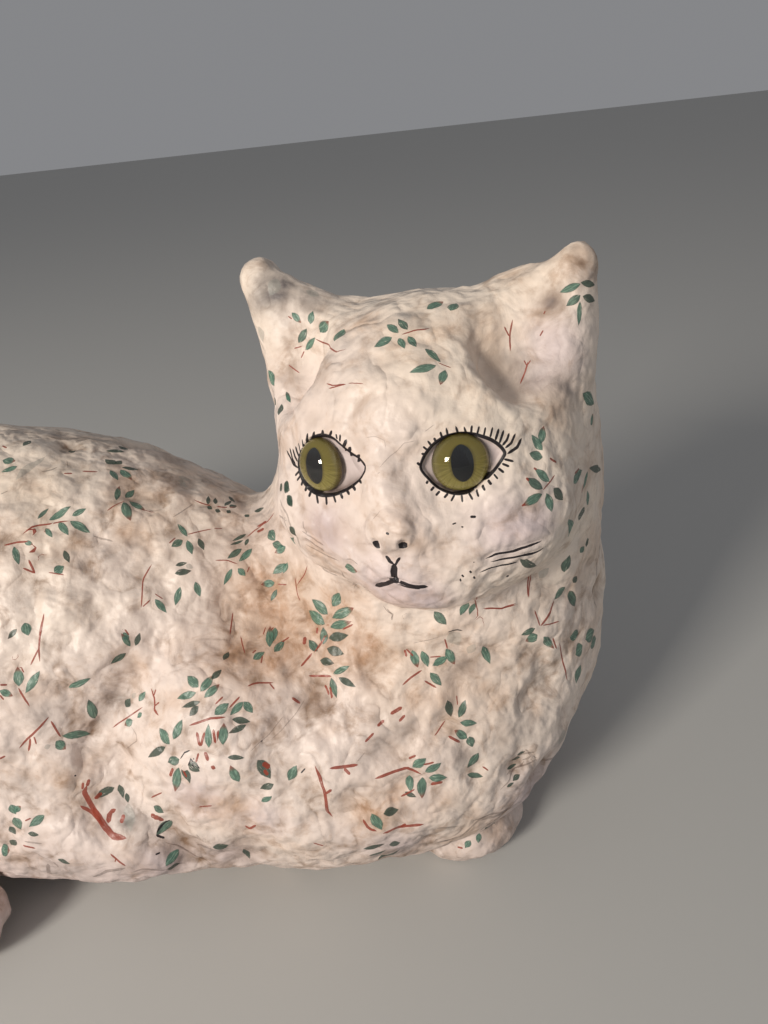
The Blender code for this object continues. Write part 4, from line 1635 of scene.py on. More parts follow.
@dataclass(frozen=True)
class IrisPaint:
    """The painted back of a glass eye: an olive iris round a dark slit pupil."""

    olive: tuple = ink(134, 120, 50)
    straw: tuple = ink(172, 158, 84)
    umber: tuple = ink(78, 60, 26)
    pupil: tuple = ink(10, 12, 20)
    pupil_painted_reflection: tuple = ink(46, 52, 64)
    pupil_half: Spot = (0.36, 0.59)

    def material(self) -> bpy.types.Material:
        """Makes the paint.

        Returns:
            The material.
        """
        made, bench, shader = new_material("iris_paint")
        spot = bench.node("ShaderNodeAttribute", {"attribute_name": "spot"}).outputs["Vector"]
        split = bench.node("ShaderNodeSeparateXYZ", values={0: spot})
        u, v = (Amount(bench, split.outputs[axis]) for axis in (0, 1))
        radius = (u * u + v * v) ** 0.5
        angle = bench.math("ARCTAN2", v, u)
        fibre_at = bench.node("ShaderNodeCombineXYZ", values={0: angle * 9.0, 1: radius * 1.6})
        fibre = bench.node(
            "ShaderNodeTexNoise", values={"Vector": fibre_at.outputs[0], "Scale": 1.3, "Detail": 4.0}
        )
        fibres = Amount(bench, fibre.outputs[0])
        colour = bench.blend(self.olive, self.straw, bench.eased(fibres - 0.35 * v, 0.4, 0.85))
        colour = bench.blend(colour, self.umber, bench.eased(radius, 0.78, 1.02) * 0.6)
        half_wide, half_high = self.pupil_half
        height = abs(v - 0.02) / half_high
        slit = half_wide * (1.0 - height.held() ** 2.6) ** 0.62 - abs(u)
        # painted reflection: the pupil turns bluish grey towards its top, where the glass reflects the light
        dark = bench.blend(self.pupil, self.pupil_painted_reflection, bench.eased(fibres + 0.8 * v, 0.55, 1.3) * 0.8)
        colour = bench.blend(colour, self.umber, 0.5 * bench.eased(slit, -0.1, 0.0) * (height < 1.0))
        colour = bench.blend(colour, dark, bench.eased(slit, 0.0, 0.02))
        bench.tree.links.new(colour, shader.inputs["Base Color"])
        bench.tree.links.new((0.4 + 0.1 * fibres).socket, shader.inputs["Roughness"])
        return made


@dataclass(frozen=True)
class FloorPaper:
    """Plain pale paper under the object."""

    colour: tuple = ink(186, 185, 182)
    roughness: float = 0.9

    def material(self) -> bpy.types.Material:
        """Makes the paper."""
        made, bench, shader = new_material("floor_paper")
        shader.inputs["Base Color"].default_value = self.colour
        shader.inputs["Roughness"].default_value = self.roughness
        return made


# the eyes


@dataclass(frozen=True)
class GlassEye:
    """One glass eye: a clear dome over a painted disc."""

    name: str
    node: str
    side: int
    opening: tuple[Spot, ...]
    upper_liner: float
    lower_liner: float
    radius: float = 6.1
    bulge: float = 4.5
    back: float = 0.7
    iris_radius: float = 5.8
    iris_bulge: float = 1.7
    pit: float = 1.0
    recess: float = 1.3
    chamfer: float = 0.25
    disc_gap: float = 0.15
    rings: int = 18
    segments: int = 64
    place: Place = (15.9, -28.6, 2.5)
    turn_out: float = 26.0
    tilt_up: float = 4.0

    def centre(self) -> Points:
        """The middle of the eye."""
        return turned(HEAD_TURN) @ (np.array(self.place) * (self.side, 1, 1)) + HEAD_CENTRE

    def axes(self) -> Points:
        """Columns: across the eye, up it and out of its front."""
        turn = turned(HEAD_TURN) @ turned((-self.tilt_up, 0, self.side * self.turn_out))
        return np.stack((turn[:, 0], turn[:, 2], -turn[:, 1]), axis=1)

    def local(self, points: Points) -> Points:
        """Points as across, up and out from the eye's middle."""
        return (points - self.centre()) @ self.axes()

    def outline(self, view: Viewpoint, tree: BVHTree) -> Points:
        """The opening between the lids, across and up from the eye's middle.

        Args:
            view: Where the picture is taken from.
            tree: The skin.

        Returns:
            The ring's corners.
        """
        found = []
        for spot in self.opening:
            place, _, _, _ = tree.ray_cast(Vector(view.place), view.ray(spot))
            found.append(self.local(np.array(place)[None])[0, :2])
        return smooth_ring(np.array(found))

    def lathe(self, profile: list[Spot]) -> tuple[Points, list[list[int]]]:
        """A closed round piece from a profile of radius and height, pole to pole.

        Args:
            profile: Radius and height of each ring; the first and last have no radius.

        Returns:
            Corners across, up and out from the eye's middle, and faces.
        """
        segments = self.segments
        angles = np.arange(segments) * 2 * math.pi / segments
        corners = [(0.0, 0.0, profile[0][1])]
        for radius, height in profile[1:-1]:
            corners += [(radius * math.cos(a), radius * math.sin(a), height) for a in angles]
        corners.append((0.0, 0.0, profile[-1][1]))
        faces, last = [], len(corners) - 1
        for step in range(segments):
            after = (step + 1) % segments
            faces.append([0, 1 + step, 1 + after])
            for ring in range(len(profile) - 3):
                low, high = 1 + ring * segments, 1 + (ring + 1) * segments
                faces.append([low + step, high + step, high + after, low + after])
            final = 1 + (len(profile) - 3) * segments
            faces.append([last, final + after, final + step])
        return np.array(corners), faces

    def build(
        self, frame: Drawing, glass: bpy.types.Material, paint: bpy.types.Material
    ) -> list[bpy.types.Object]:
        """Makes the dome and the disc.

        Args:
            frame: Where the drawing lies.
            glass: The dome's finish.
            paint: The disc's finish.

        Returns:
            The two pieces.
        """
        steps = np.linspace(0, math.pi / 2, self.rings)
        dome = [(self.radius * math.sin(a), self.bulge * math.cos(a)) for a in steps]
        dome += [(self.radius, -self.back * 0.6), (self.radius - self.chamfer, -self.back)]
        dome += [(self.radius * share, -self.back) for share in (0.6, 0.3, 0.0)]
        lens, lens_faces = self.lathe(dome)
        low = -self.back + self.disc_gap
        disc_profile = [(self.iris_radius * math.sin(a), self.iris_bulge * math.cos(a)) for a in steps]
        disc_profile += [(self.iris_radius - 0.1, low), (self.iris_radius * 0.5, low), (0.0, low)]
        disc, disc_faces = self.lathe(disc_profile)
        pieces = []
        for name, corners, faces, finish in (
            (self.name + "_dome", lens, lens_faces, glass),
            (self.name + "_iris", disc, disc_faces, paint),
        ):
            placed = corners @ self.axes().T + self.centre()
            thing = plain_object(name, frame.metres(placed), faces)
            spots = np.concatenate((corners[:, :2] / self.radius, np.zeros((len(corners), 1))), axis=1)
            put_attribute(thing.data, "spot", "FLOAT_VECTOR", "POINT", spots)
            thing.data.materials.append(finish)
            pieces.append(thing)
        return pieces


def smooth_ring(points: Points, parts: int = 6) -> Points:
    """A smooth closed curve through points of a plane."""
    found = []
    for number in range(len(points)):
        found += curve_part([points[(number + step) % len(points)] for step in (-1, 0, 1, 2)], parts)
    return np.array(found)


def ring_distance(ring: Points, points: Points) -> Points:
    """How far points of a plane are outside a closed ring, below zero inside.

    Args:
        ring: The ring's corners in order.
        points: The points to measure.

    Returns:
        One distance for each point.
    """
    best = np.full(len(points), 1e9)
    inside = np.zeros(len(points), bool)
    for start, end in zip(ring, np.roll(ring, -1, axis=0)):
        way = end - start
        share = np.clip((points - start) @ way / max(float(way @ way), 1e-12), 0, 1)
        best = np.minimum(best, np.linalg.norm(points - start - share[:, None] * way, axis=1))
        crossing = (start[1] > points[:, 1]) != (end[1] > points[:, 1])
        reach = start[0] + (points[:, 1] - start[1]) * way[0] / (way[1] if way[1] else 1e-12)
        inside ^= crossing & (points[:, 0] < reach)
    return np.where(inside, -best, best)


LEFT_OPENING = (
    (299.5, 464.0), (301.5, 455.0), (306.0, 446.0), (313.5, 439.5), (323.0, 437.0), (333.0, 440.0),
    (342.0, 448.0), (351.0, 455.3), (358.5, 462.0), (362.0, 468.5), (358.5, 476.5), (351.5, 484.0),
    (341.5, 490.0), (332.5, 493.0), (323.0, 493.5), (314.5, 490.5), (307.5, 484.5), (302.0, 475.5),
)
RIGHT_OPENING = (
    (422.0, 468.0), (424.5, 459.0), (428.5, 452.5), (435.0, 445.0), (446.0, 438.0), (459.0, 435.0),
    (471.5, 435.5), (484.0, 438.5), (495.5, 444.0), (503.5, 452.0), (502.5, 456.5), (498.5, 463.0),
    (490.0, 473.5), (480.0, 483.5), (471.5, 489.5), (461.0, 492.5), (450.0, 491.5), (438.0, 486.0),
    (429.0, 477.5),
)


# the body


@dataclass(frozen=True)
class Smudge:
    """A soft patch at a spot of the picture: where, how wide in pixels, and how warm, grey and rosy; the grey
    and rosy parts are partly painted shade.
    """

    x: float
    y: float
    radius: float
    warm: float = 0.0
    grey: float = 0.0
    rosy: float = 0.0


SMUDGES = tuple(
    Smudge(*row)
    for row in (
        # face and ears; the grey patches in the right ear's hollow and the rosy ones on the right and lower
        # face, the chin and the left cheek are painted shade
        (390, 380, 60, 0.2), (310, 420, 30, 0.2), (312, 520, 30, 0.25), (400, 515, 26, 0.3),
        (440, 560, 26, 0.15), (276, 286, 20, 0, 0.8), (312, 300, 13, 0, 0.55), (256, 304, 13, 0, 0.5),
        (570, 372, 24, 0, 0.2, 0.3), (330, 300, 10, 0, 0.3), (545, 300, 14, 0.4, 0.2), (342, 530, 14, 0.5),
        (420, 545, 12, 0.35), (405, 528, 22, 0.2), (360, 500, 20, 0.25), (278, 286, 18, 0, 0.45),
        (312, 293, 12, 0, 0.2), (264, 262, 6, 0.8, 0.3), (552, 303, 10, 0.9, 0.6), (585, 283, 7, 0, 0.6),
        (535, 380, 18, 0, 0.5, 0.5), (562, 384, 16, 0.2, 0.35), (520, 366, 10, 0.3, 0.4),
        (588, 300, 10, 0, 0.3), (570, 340, 22, 0, 0.22), (290, 320, 20, 0, 0.15, 0.2),
        (320, 375, 16, 0.5, 0.25), (290, 372, 14, 0.5, 0.3), (505, 375, 20, 0.5, 0.15),
        (560, 402, 22, 0.7, 0.2), (358, 545, 11, 0.5, 0.15), (420, 545, 10, 0.4, 0.1),
        (430, 600, 22, 0, 0.12, 0.5), (552, 340, 34, 0, 0, 0.9), (505, 358, 8, 0, 0.4),
        (580, 270, 20, 0, 0.1, 0.3), (590, 380, 12, 0.2, 0.35), (300, 385, 14, 0.25, 0.2),
        (370, 320, 20, 0.3), (480, 330, 24, 0.35, 0.1), (560, 420, 26, 0.3, 0.1),
        (590, 470, 20, 0.35, 0.15), (510, 530, 40, 0, 0, 0.9), (545, 520, 24, 0, 0.15, 0.5),
        (324, 530, 26, 0, 0.16, 0.8), (390, 595, 50, 0, 0, 0.7), (585, 580, 20, 0.35, 0.1),
        # top of the back: warm and grey patches, partly brownish soiling and partly painted shade where the
        # top faces away from the light
        (20, 432, 18, 0.35, 0.35), (60, 434, 18, 0.35, 0.4), (100, 438, 18, 0.4, 0.4),
        (140, 448, 18, 0.4, 0.35), (175, 462, 16, 0.35, 0.4), (210, 480, 16, 0.35, 0.35),
        (245, 498, 18, 0.35, 0.4), (268, 520, 16, 0.35, 0.35), (187, 482, 12, 0, 0.4),
        (240, 540, 16, 0.3, 0.3), (30, 485, 30, 0.3, 0.1), (78, 543, 12, 0.7, 0.1),
        (123, 532, 11, 0.8, 0.1), (59, 553, 8, 0.4, 0.3), (157, 513, 9, 0.7), (145, 530, 16, 0.4),
        # flank; the grey patches in the groove by the haunch and the pit by the elbow are partly painted
        # shade, and the rosy and grey ones low on the belly are painted shade
        (27, 600, 9, 0, 0.3), (101, 643, 7, 0.2, 0.35), (139, 664, 12, 0.8, 0.1), (119, 701, 13, 0.2, 0.55),
        (104, 721, 8, 0.2, 0.5), (104, 750, 8, 0.5, 0.1), (38, 697, 11, 0.5), (46, 682, 8, 0.4, 0.2),
        (41, 713, 14, 0, 0.4), (64, 782, 9, 0.6, 0.2), (22, 787, 20, 0, 0.3), (90, 790, 22, 0.15, 0.15),
        (128, 820, 13, 0, 0.9), (118, 800, 10, 0, 0.4), (22, 858, 12, 0.6), (60, 870, 30, 0, 0.35),
        (160, 868, 30, 0, 0.3, 0.5), (230, 860, 30, 0, 0.25, 0.5), (200, 800, 30, 0, 0, 0.6),
        (260, 820, 30, 0, 0, 0.6), (225, 807, 16, 0.4), (180, 640, 16, 0.4),
        # warm breast and shoulder; the grey patches along the chest's crease and the rosy and grey ones low
        # down are painted shade
        (262, 560, 34, 0.5, 0.06), (300, 610, 44, 0.55, 0.06), (335, 640, 44, 0.5, 0.05),
        (250, 645, 34, 0.4, 0.05), (380, 670, 40, 0.4), (420, 720, 40, 0.35), (380, 800, 40, 0.35),
        (480, 690, 40, 0.35), (238, 655, 26, 0.7), (246, 590, 26, 0.7), (275, 601, 26, 0.8),
        (275, 663, 16, 0.9), (289, 612, 20, 0.9), (300, 570, 12, 0.6), (338, 599, 16, 0.6),
        (351, 648, 20, 0.9), (300, 650, 30, 0.5), (250, 700, 26, 0.35), (287, 673, 9, 0.3, 0.35),
        (316, 694, 9, 0.9, 0.2), (327, 729, 9, 0.6), (372, 640, 12, 0.5), (393, 658, 9, 0.7),
        (415, 699, 9, 0.7), (440, 680, 26, 0.4), (463, 671, 13, 0.4, 0.5), (469, 651, 8, 0.7),
        (486, 688, 6, 1.0), (502, 697, 13, 0.5), (520, 640, 30, 0.25), (444, 700, 9, 0.7),
        (522, 728, 20, 0, 0.45), (536, 712, 7, 1.0), (558, 738, 9, 0, 0.6), (400, 729, 12, 0, 0.45),
        (380, 742, 10, 0, 0.45), (363, 761, 10, 0, 0.4), (353, 789, 9, 0, 0.45), (467, 757, 12, 0, 0.55),
        (398, 793, 13, 0.9), (363, 813, 18, 0.8), (380, 822, 16, 0.7), (448, 800, 13, 0.6),
        (430, 815, 14, 0.4), (325, 852, 9, 0, 0.4), (400, 850, 30, 0, 0.3, 0.4),
        (530, 790, 40, 0, 0.2, 0.7), (500, 830, 20, 0.5, 0.2),
    )
)


@dataclass(frozen=True)
class Press:
    """A groove along spots of the picture, in millimetres; a depth below zero raises a ridge."""

    depth: float
    width: float
    spots: tuple[Spot, ...]


PRESSES = (
    Press(-0.9, 4.2, ((384, 533), (395, 534))),
    Press(-1.1, 4.0, ((486, 330), (497, 360), (508, 388))),
    Press(0.8, 1.9, ((362, 519), (360, 533), (365, 547), (375, 556))),
    Press(0.8, 1.9, ((417, 519), (420, 533), (415, 547), (405, 556))),
    # troughs of the flank
    Press(1.1, 3.2, ((116, 584), (114.5, 601), (107, 620))),
    Press(0.9, 2.2, ((94, 588), (94, 600))),
    Press(0.8, 2.4, ((127.6, 556), (124.7, 571))),
    Press(0.8, 2.2, ((26, 594), (27.5, 604))),
    Press(0.8, 2.2, ((48, 584), (49, 591))),
    Press(1.0, 2.6, ((62, 548), (68, 553), (74, 548))),
    Press(0.9, 2.4, ((120, 530), (134, 538))),
    Press(-0.5, 3.6, ((82, 576), (80, 604))),
    Press(-0.5, 3.6, ((60, 600), (66, 620))),
    Press(-0.4, 3.4, ((126, 596), (122, 618))),
    Press(0.8, 2.6, ((150, 616), (162, 640), (156, 660))),
    Press(0.9, 2.6, ((226, 600), (240, 640), (262, 668))),
    Press(1.0, 3.0, ((300, 560), (318, 590), (352, 612))),
    Press(0.8, 2.4, ((316, 690), (326, 712), (330, 740))),
    Press(0.8, 2.4, ((370, 762), (390, 742), (430, 728), (470, 730))),
    Press(0.7, 2.2, ((388, 800), (410, 786), (440, 790))),
    Press(-0.7, 3.0, ((416, 760), (450, 770))),
    Press(1.6, 0.75, ((375.4, 543.6), (375.6, 546.6))),
    Press(1.6, 0.8, ((403.0, 544.6), (403.2, 547.0))),
    Press(0.5, 0.6, ((386, 557.6), (391, 565), (394, 580))),
    Press(0.5, 0.8, ((375, 587), (394, 581), (427, 588))),
    Press(0.7, 1.2, ((366, 573), (388, 606), (420, 612), (456, 607), (476, 594), (490, 577))),
    Press(0.9, 0.8, ((484, 558), (495, 553), (512, 550), (530, 545), (548, 538))),
    Press(0.8, 0.8, ((489, 561), (509, 557), (534, 553), (550, 546))),
    Press(0.6, 0.8, ((479, 572), (490, 567), (506, 565), (530, 561))),
    Press(0.6, 0.8, ((301, 530), (308, 535), (326, 545))),
    Press(0.6, 0.8, ((305, 543), (320, 553), (338, 561))),
    Press(1.2, 2.0, ((90, 532), (101, 536), (112, 542))),
    Press(
        1.5,
        2.5,
        ((136, 676), (116, 700), (106, 720), (108, 745), (118, 762), (132, 792), (150, 818), (168, 840)),
    ),
    Press(1.5, 2.0, ((436, 852), (470, 838), (500, 822), (520, 808))),
    Press(1.2, 1.6, ((480, 850), (500, 836), (520, 826))),
)


@dataclass(frozen=True)
class PulpRelief:
    """The lumps, dents and grain of dried pulp, as a tree of geometry nodes. Sizes are in metres."""

    lump_size: float = 0.024
    lump_height: float = 0.0027
    dent_size: float = 0.0115
    dent_depth: float = 0.002
    grain_size: float = 0.0062
    grain_height: float = 0.00095
    seed: float = 4.0

    def tree(self, finish: bpy.types.Material) -> bpy.types.NodeTree:
        """Builds the tree.

        Args:
            finish: The material that the skin gets.

        Returns:
            The node group.
        """
        group = bpy.data.node_groups.new("pulp_relief", "GeometryNodeTree")
        face = group.interface
        face.new_socket("Geometry", in_out="INPUT", socket_type="NodeSocketGeometry")
        for name in self.inputs():
            face.new_socket(name, in_out="INPUT", socket_type="NodeSocketFloat")
        face.new_socket("Geometry", in_out="OUTPUT", socket_type="NodeSocketGeometry")
        bench = Bench(group)
        entry = bench.node("NodeGroupInput")
        given = {name: Amount(bench, entry.outputs[name]) for name in self.inputs()}
        where = bench.node("GeometryNodeInputPosition").outputs[0]
        soft = bench.node(
            "GeometryNodeInputNamedAttribute", {"data_type": "FLOAT"}, {"Name": "rough_share"}
        )
        share = Amount(bench, soft.outputs[0])

        def field(size: Amount, detail: float, shift: float) -> Amount:
            """Smooth random values about zero, with lumps of a size.

            Args:
                size: A lump's size.
                detail: How many finer layers it has.
                shift: Which pattern it is.

            Returns:
                The values.
            """
            made = bench.node(
                "ShaderNodeTexNoise",
                {"noise_dimensions": "4D"},
                {
                    "Vector": where,
                    "W": given["Seed"] + shift,
                    "Scale": bench.math("DIVIDE", 1.0, size),
                    "Detail": detail,
                    "Roughness": 0.5,
                },
            )
            return Amount(bench, made.outputs[0]) - 0.5

        lumps = field(given["Lump Size"], 1.5, 0.0)
        dents = field(given["Dent Size"], 1.5, 5.0)
        deep = bench.eased(dents, -0.02, 0.24)
        grain = field(given["Grain Size"], 3.0, 9.0)
        height = lumps * given["Lump Height"] * 2.0 - deep * given["Dent Depth"]
        height = height * share + grain * given["Grain Height"] * 2.0 * bench.eased(share, 0.0, 0.3)
        hollow = deep * share + bench.eased(lumps, 0.0, -0.25) * share * 0.6
        normal = bench.node("GeometryNodeInputNormal").outputs[0]
        move = bench.node(
            "ShaderNodeVectorMath", {"operation": "SCALE"}, {0: normal, "Scale": height}
        )
        stored = bench.node(
            "GeometryNodeStoreNamedAttribute",
            {"data_type": "FLOAT", "domain": "POINT"},
            {"Geometry": entry.outputs["Geometry"], "Name": "hollow", "Value": hollow},
        )
        moved = bench.node(
            "GeometryNodeSetPosition", values={"Geometry": stored.outputs[0], "Offset": move.outputs[0]}
        )
        smooth = bench.node("GeometryNodeSetShadeSmooth", values={"Geometry": moved.outputs[0]})
        real = bench.node("GeometryNodeRealizeInstances", values={"Geometry": smooth.outputs[0]})
        dressed = bench.node(
            "GeometryNodeSetMaterial", values={"Geometry": real.outputs[0], "Material": finish}
        )
        bench.node("NodeGroupOutput", values={"Geometry": dressed.outputs[0]})
        return group

    def inputs(self) -> dict[str, float]:
        """The tree's named inputs and their values.

        Returns:
            A value for each name.
        """
        return {
            "Lump Size": self.lump_size,
            "Lump Height": self.lump_height,
            "Dent Size": self.dent_size,
            "Dent Depth": self.dent_depth,
            "Grain Size": self.grain_size,
            "Grain Height": self.grain_height,
            "Seed": self.seed,
        }

    def apply(self, thing: bpy.types.Object, finish: bpy.types.Material) -> None:
        """Runs the tree on an object and keeps the plain mesh that it makes.

        Args:
            thing: The object.
            finish: The material that it gets.
        """
        modifier = thing.modifiers.new("pulp_relief", "NODES")
        modifier.node_group = self.tree(finish)
        sockets = {item.name: item.identifier for item in modifier.node_group.interface.items_tree}
        for name, value in self.inputs().items():
            modifier[sockets[name]] = value
        made = made_mesh(thing)
        thing.modifiers.clear()
        thing.data = made


@dataclass(frozen=True)
class Patch:
    """A part of the face, in millimetres across, back and up from the head's centre."""

    middle: float
    half_width: float
    back: float
    top: float
    bottom: float

    def holds(self, points: Points) -> Points:
        """Which points of the drawing lie in it."""
        across, back, up = ((points - HEAD_CENTRE) @ turned(HEAD_TURN)).T
        within = (np.abs(across - self.middle) < self.half_width) & (back < self.back)
        return within & (up < self.top) & (up > self.bottom)


FACE_PATCH = Patch(middle=0.0, half_width=40.0, back=-8.0, top=32.0, bottom=-36.0)
MOUTH_PATCH = Patch(middle=2.5, half_width=9.0, back=-20.0, top=-7.0, bottom=-26.0)


@dataclass
class CatBody:
    """The moulded body, painted."""

    view: Viewpoint
    frame: Drawing
    eyes: tuple[GlassEye, ...]
    voxel: float = 3.4
    evenings: int = 10
    eye_reach: float = 15.5
    eye_flat: float = 1.35
    eye_depth: float = 4.0
    face_calm: float = 0.72
    head_calm: float = 0.5

    def skin(self) -> Shell:
        """The plain skin, finer on the face and finest round the eyes and the mouth.

        Returns:
            The skin.
        """
        shell = rough_shell(self.voxel)
        shell.settled(self.evenings)
        shell.finer(np.ones(len(shell.triangles), bool))
        shell.settled(1)
        shell.finer(FACE_PATCH.holds(shell.middles()))
        middles = shell.middles()
        wanted = MOUTH_PATCH.holds(middles)
        for eye in self.eyes:
            local = eye.local(middles)
            reach = np.hypot(local[:, 0], local[:, 1] * self.eye_flat)
            wanted |= (reach < self.eye_reach) & (local[:, 2] > -self.eye_depth)
        shell.finer(wanted)
        shell.settled(0)
        return shell

    def open_lids(self, shell: Shell) -> Points:
        """Sinks the almond openings and the glass pits, and measures the lids.

        Args:
            shell: The skin, which is changed.

        Returns:
            For each corner: the distance from the opening's edge, the liner's width and the shade inside.
        """
        tree = BVHTree.FromPolygons(shell.points.tolist(), shell.triangles.tolist())
        lids = np.tile((FAR, 0.0, 0.0), (len(shell.points), 1))
        normals = shell.normals()
        for eye in self.eyes:
            ring = eye.outline(self.view, tree)
            local = eye.local(shell.points)
            radius = np.hypot(local[:, 0], local[:, 1])
            near = (radius < self.eye_reach) & (local[:, 2] > -self.eye_depth)
            near &= normals @ eye.axes()[:, 2] > 0.0
            places = local[near]
            gap = ring_distance(ring, places[:, :2])
            out = places[:, 2] - eye.recess * eased(-gap, -0.25, 0.55)
            pit = 1.0 - eased(radius[near], eye.radius - 0.05, eye.radius + 0.3)
            out = out * (1 - pit) + np.minimum(out, -eye.pit) * pit
            moved = np.stack((places[:, 0], places[:, 1], out), axis=1)
            shell.points[near] = moved @ eye.axes().T + eye.centre()
            upper = eased(places[:, 1], -1.5, 3.0)
            width = eye.lower_liner + (eye.upper_liner - eye.lower_liner) * upper
            shade = eased(-places[:, 1], -1.0, 5.0) * eased(-gap, 3.5, 0.2)
            lids[near] = np.stack((gap, width, shade), axis=1)
        return lids

    def press(self, shell: Shell) -> None:
        """Presses the creases, nostrils and lip lines into the skin.

        Args:
            shell: The skin, which is changed.
        """
        tree = BVHTree.FromPolygons(shell.points.tolist(), shell.triangles.tolist())
        normals = shell.normals()
        moved = np.zeros(len(shell.points))
        for press in PRESSES:
            hits = [tree.ray_cast(Vector(self.view.place), self.view.ray(spot)) for spot in press.spots]
            line = np.array([hit[0] for hit in hits if hit[0] is not None])
            if len(line) < 2:
                continue
            line = np.array(smooth_line(tuple(line)))
            gap = np.full(len(shell.points), 1e9)
            for start, end in zip(line[:-1], line[1:]):
                way = end - start
                share = np.clip((shell.points - start) @ way / max(float(way @ way), 1e-9), 0, 1)
                gap = np.minimum(gap, np.linalg.norm(shell.points - start - share[:, None] * way, axis=1))
            moved += press.depth * np.exp(-((gap / press.width) ** 2))
        shell.points -= normals * moved[:, None]

    def smudges(self, shell: Shell) -> Points:
        """How warm, grey and rosy each corner is; the grey and rosy parts are partly painted shade.

        Args:
            shell: The skin.

        Returns:
            Three numbers for each corner.
        """
        tree = BVHTree.FromPolygons(shell.points.tolist(), shell.triangles.tolist())
        found = np.zeros((len(shell.points), 3))
        for smudge in SMUDGES:
            place, _, _, _ = tree.ray_cast(Vector(self.view.place), self.view.ray((smudge.x, smudge.y)))
            if place is None:
                continue
            place = np.array(place)
            radius = smudge.radius * float(self.view.depth(place[None])[0]) / self.view.focus
            gap = np.linalg.norm(shell.points - place, axis=1)
            soft = np.exp(-((gap / radius) ** 2))
            found += soft[:, None] * np.array((smudge.warm, smudge.grey, smudge.rosy))
        return np.minimum(found, 1.0)

    def rough_share(self, shell: Shell) -> Points:
        """How strong the pulp's relief is at each corner.

        Args:
            shell: The skin.

        Returns:
            From zero to one for each corner.
        """
        local = (shell.points - HEAD_CENTRE) @ turned(HEAD_TURN)
        face = eased(-local[:, 1], 2.0, 14.0) * (1 - eased(np.linalg.norm(local, axis=1), 44.0, 60.0))
        share = 1.0 - self.face_calm * face
        head = 1 - eased(np.linalg.norm(local, axis=1), 48.0, 62.0)
        share = np.minimum(share, 1.0 - self.head_calm * head)
        for eye in self.eyes:
            gap = np.linalg.norm(shell.points - eye.centre(), axis=1)
            share *= eased(gap, 8.0, 15.0)
        return share * eased(shell.points[:, 2], 0.3, 3.0)

    def build(self, finish: bpy.types.Material) -> tuple[bpy.types.Object, Shell]:
        """Makes the body.

        Args:
            finish: The paint.

        Returns:
            The body, and its skin for painting.
        """
        shell = self.skin()
        lids = self.open_lids(shell)
        self.press(shell)
        shell.points[:, 2] = np.where(shell.points[:, 2] < UNDERSIDE_SNAP, 0.0, shell.points[:, 2])
        thing = plain_object("painted_body", self.frame.metres(shell.points), shell.triangles.tolist())
        put_attribute(thing.data, "rough_share", "FLOAT", "POINT", self.rough_share(shell))
        put_attribute(thing.data, "lids", "FLOAT_VECTOR", "POINT", lids)
        put_attribute(thing.data, "smudge", "FLOAT_VECTOR", "POINT", self.smudges(shell))
        PulpRelief().apply(thing, finish)
        self.hold_in_box(thing.data)
        return thing, shell

    def hold_in_box(self, mesh: bpy.types.Mesh) -> None:
        """Keeps the relief within the body's own box."""
        low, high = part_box("cat_body")
        points = np.clip(mesh_points(mesh), np.array(low), np.array(high))
        mesh.vertices.foreach_set("co", points.astype(np.float32).ravel())
        mesh.update()


# the studio


@dataclass(frozen=True)
class Lamp:
    """A soft square lamp that looks at the object, in metres and watts."""

    name: str
    place: Place
    size: float
    energy: float
    colour: Place
    aim: Place = (0.0, 0.0, 0.08)

    def build(self) -> None:
        """Hangs the lamp."""
        data = bpy.data.lights.new(self.name, "AREA")
        data.size = self.size
        data.energy = self.energy
        data.color = self.colour
        thing = bpy.data.objects.new(self.name, data)
        thing.location = self.place
        thing.rotation_mode = "QUATERNION"
        thing.rotation_quaternion = (Vector(self.aim) - Vector(self.place)).to_track_quat("-Z", "Y")
        bpy.context.scene.collection.objects.link(thing)


KEY_LAMP = Lamp("key_lamp", (-0.6, -0.85, 0.56), 0.3, 12.8, (1.0, 0.94, 0.85))
FILL_LAMP = Lamp("fill_lamp", (0.8, -0.5, 0.5), 0.8, 0.5, (0.92, 0.94, 1.0))


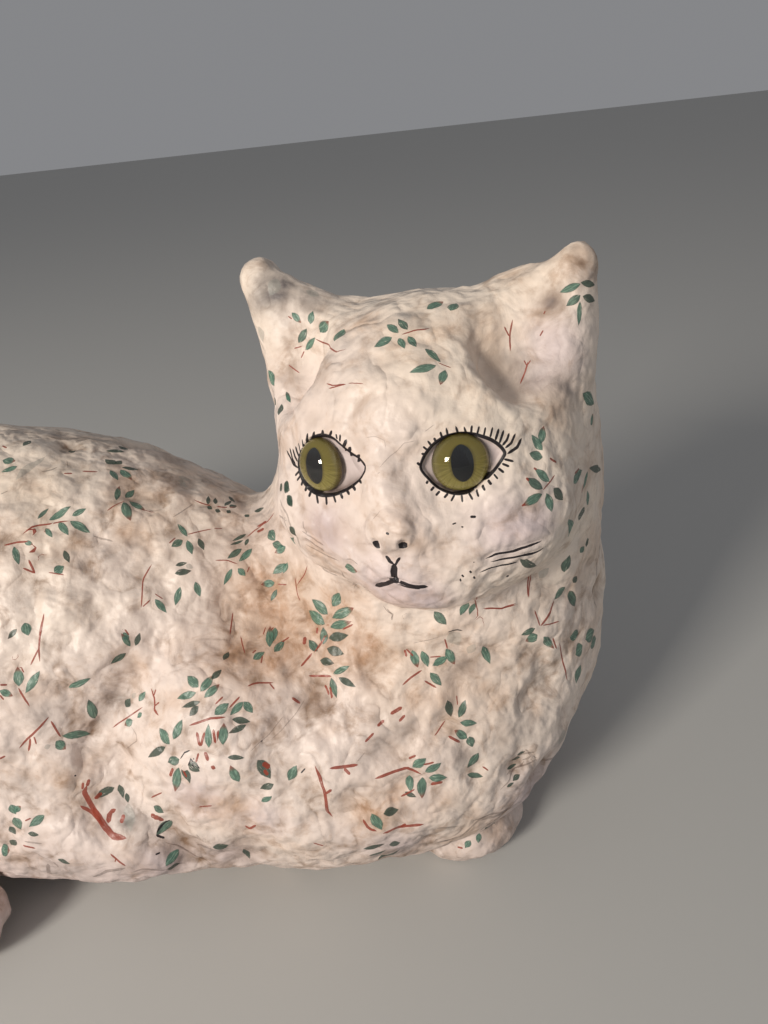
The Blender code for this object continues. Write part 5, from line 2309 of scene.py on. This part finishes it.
@dataclass(frozen=True)
class Studio:
    """A pale floor and soft light."""

    lamps: tuple[Lamp, ...] = (KEY_LAMP, FILL_LAMP)
    half_side: float = 4.0
    drop: float = 0.0002
    sky: tuple = (0.95, 0.96, 1.0, 1.0)
    sky_strength: float = 0.25

    def build(self) -> bpy.types.Object:
        """Lays the floor and sets the light.

        Returns:
            The floor.
        """
        flat = np.array(((-1, -1, 0), (1, -1, 0), (1, 1, 0), (-1, 1, 0))) * self.half_side
        floor = plain_object("floor", flat - (0, 0, self.drop), [[0, 1, 2, 3]])
        floor.data.materials.append(FloorPaper().material())
        for lamp in self.lamps:
            lamp.build()
        world = bpy.data.worlds.new("soft_grey")
        world.use_nodes = True
        sky = world.node_tree.nodes["Background"]
        sky.inputs[0].default_value = self.sky
        sky.inputs[1].default_value = self.sky_strength
        bpy.context.scene.world = world
        bpy.context.scene.view_settings.view_transform = "Standard"
        return floor


def main() -> None:
    """Builds the cat in order and reports each piece."""
    logging.basicConfig(level=logging.INFO, format="%(message)s")
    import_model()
    frame = Drawing.of_node("cat_body")
    view = Viewpoint()
    view.camera(frame)
    eyes = (
        GlassEye("left_eye", "eye_left", -1, LEFT_OPENING, 0.85, 0.72),
        GlassEye("right_eye", "eye_right", 1, RIGHT_OPENING, 0.72, 0.46),
    )
    body, shell = CatBody(view, frame, eyes).build(PaintedPaper().material())
    LOG.info("painted_body: %d triangles", len(body.data.polygons))
    painter = MarkPainter(shell)
    for sheet in (BACK, FLANK, BREAST, CHEST, EARS, HEAD_SIDE, NECK_EDGE, FACE):
        painter.read_sheet(view, sheet)
    LOG.info("sprigs on the hidden sides: %d", painter.scatter(view))
    painter.store(body.data)
    LOG.info("marks: %d missed, %d crowded faces", painter.missed, painter.crowded)
    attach(body, "root")
    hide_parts("cat_body")
    glass, paint = EyeGlass().material(), IrisPaint().material()
    for eye in eyes:
        for piece in eye.build(frame, glass, paint):
            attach(piece, "root")
            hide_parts(eye.node)
            LOG.info("%s: %d faces", piece.name, len(piece.data.polygons))
    Studio().build()


if __name__ == "__main__":
    main()
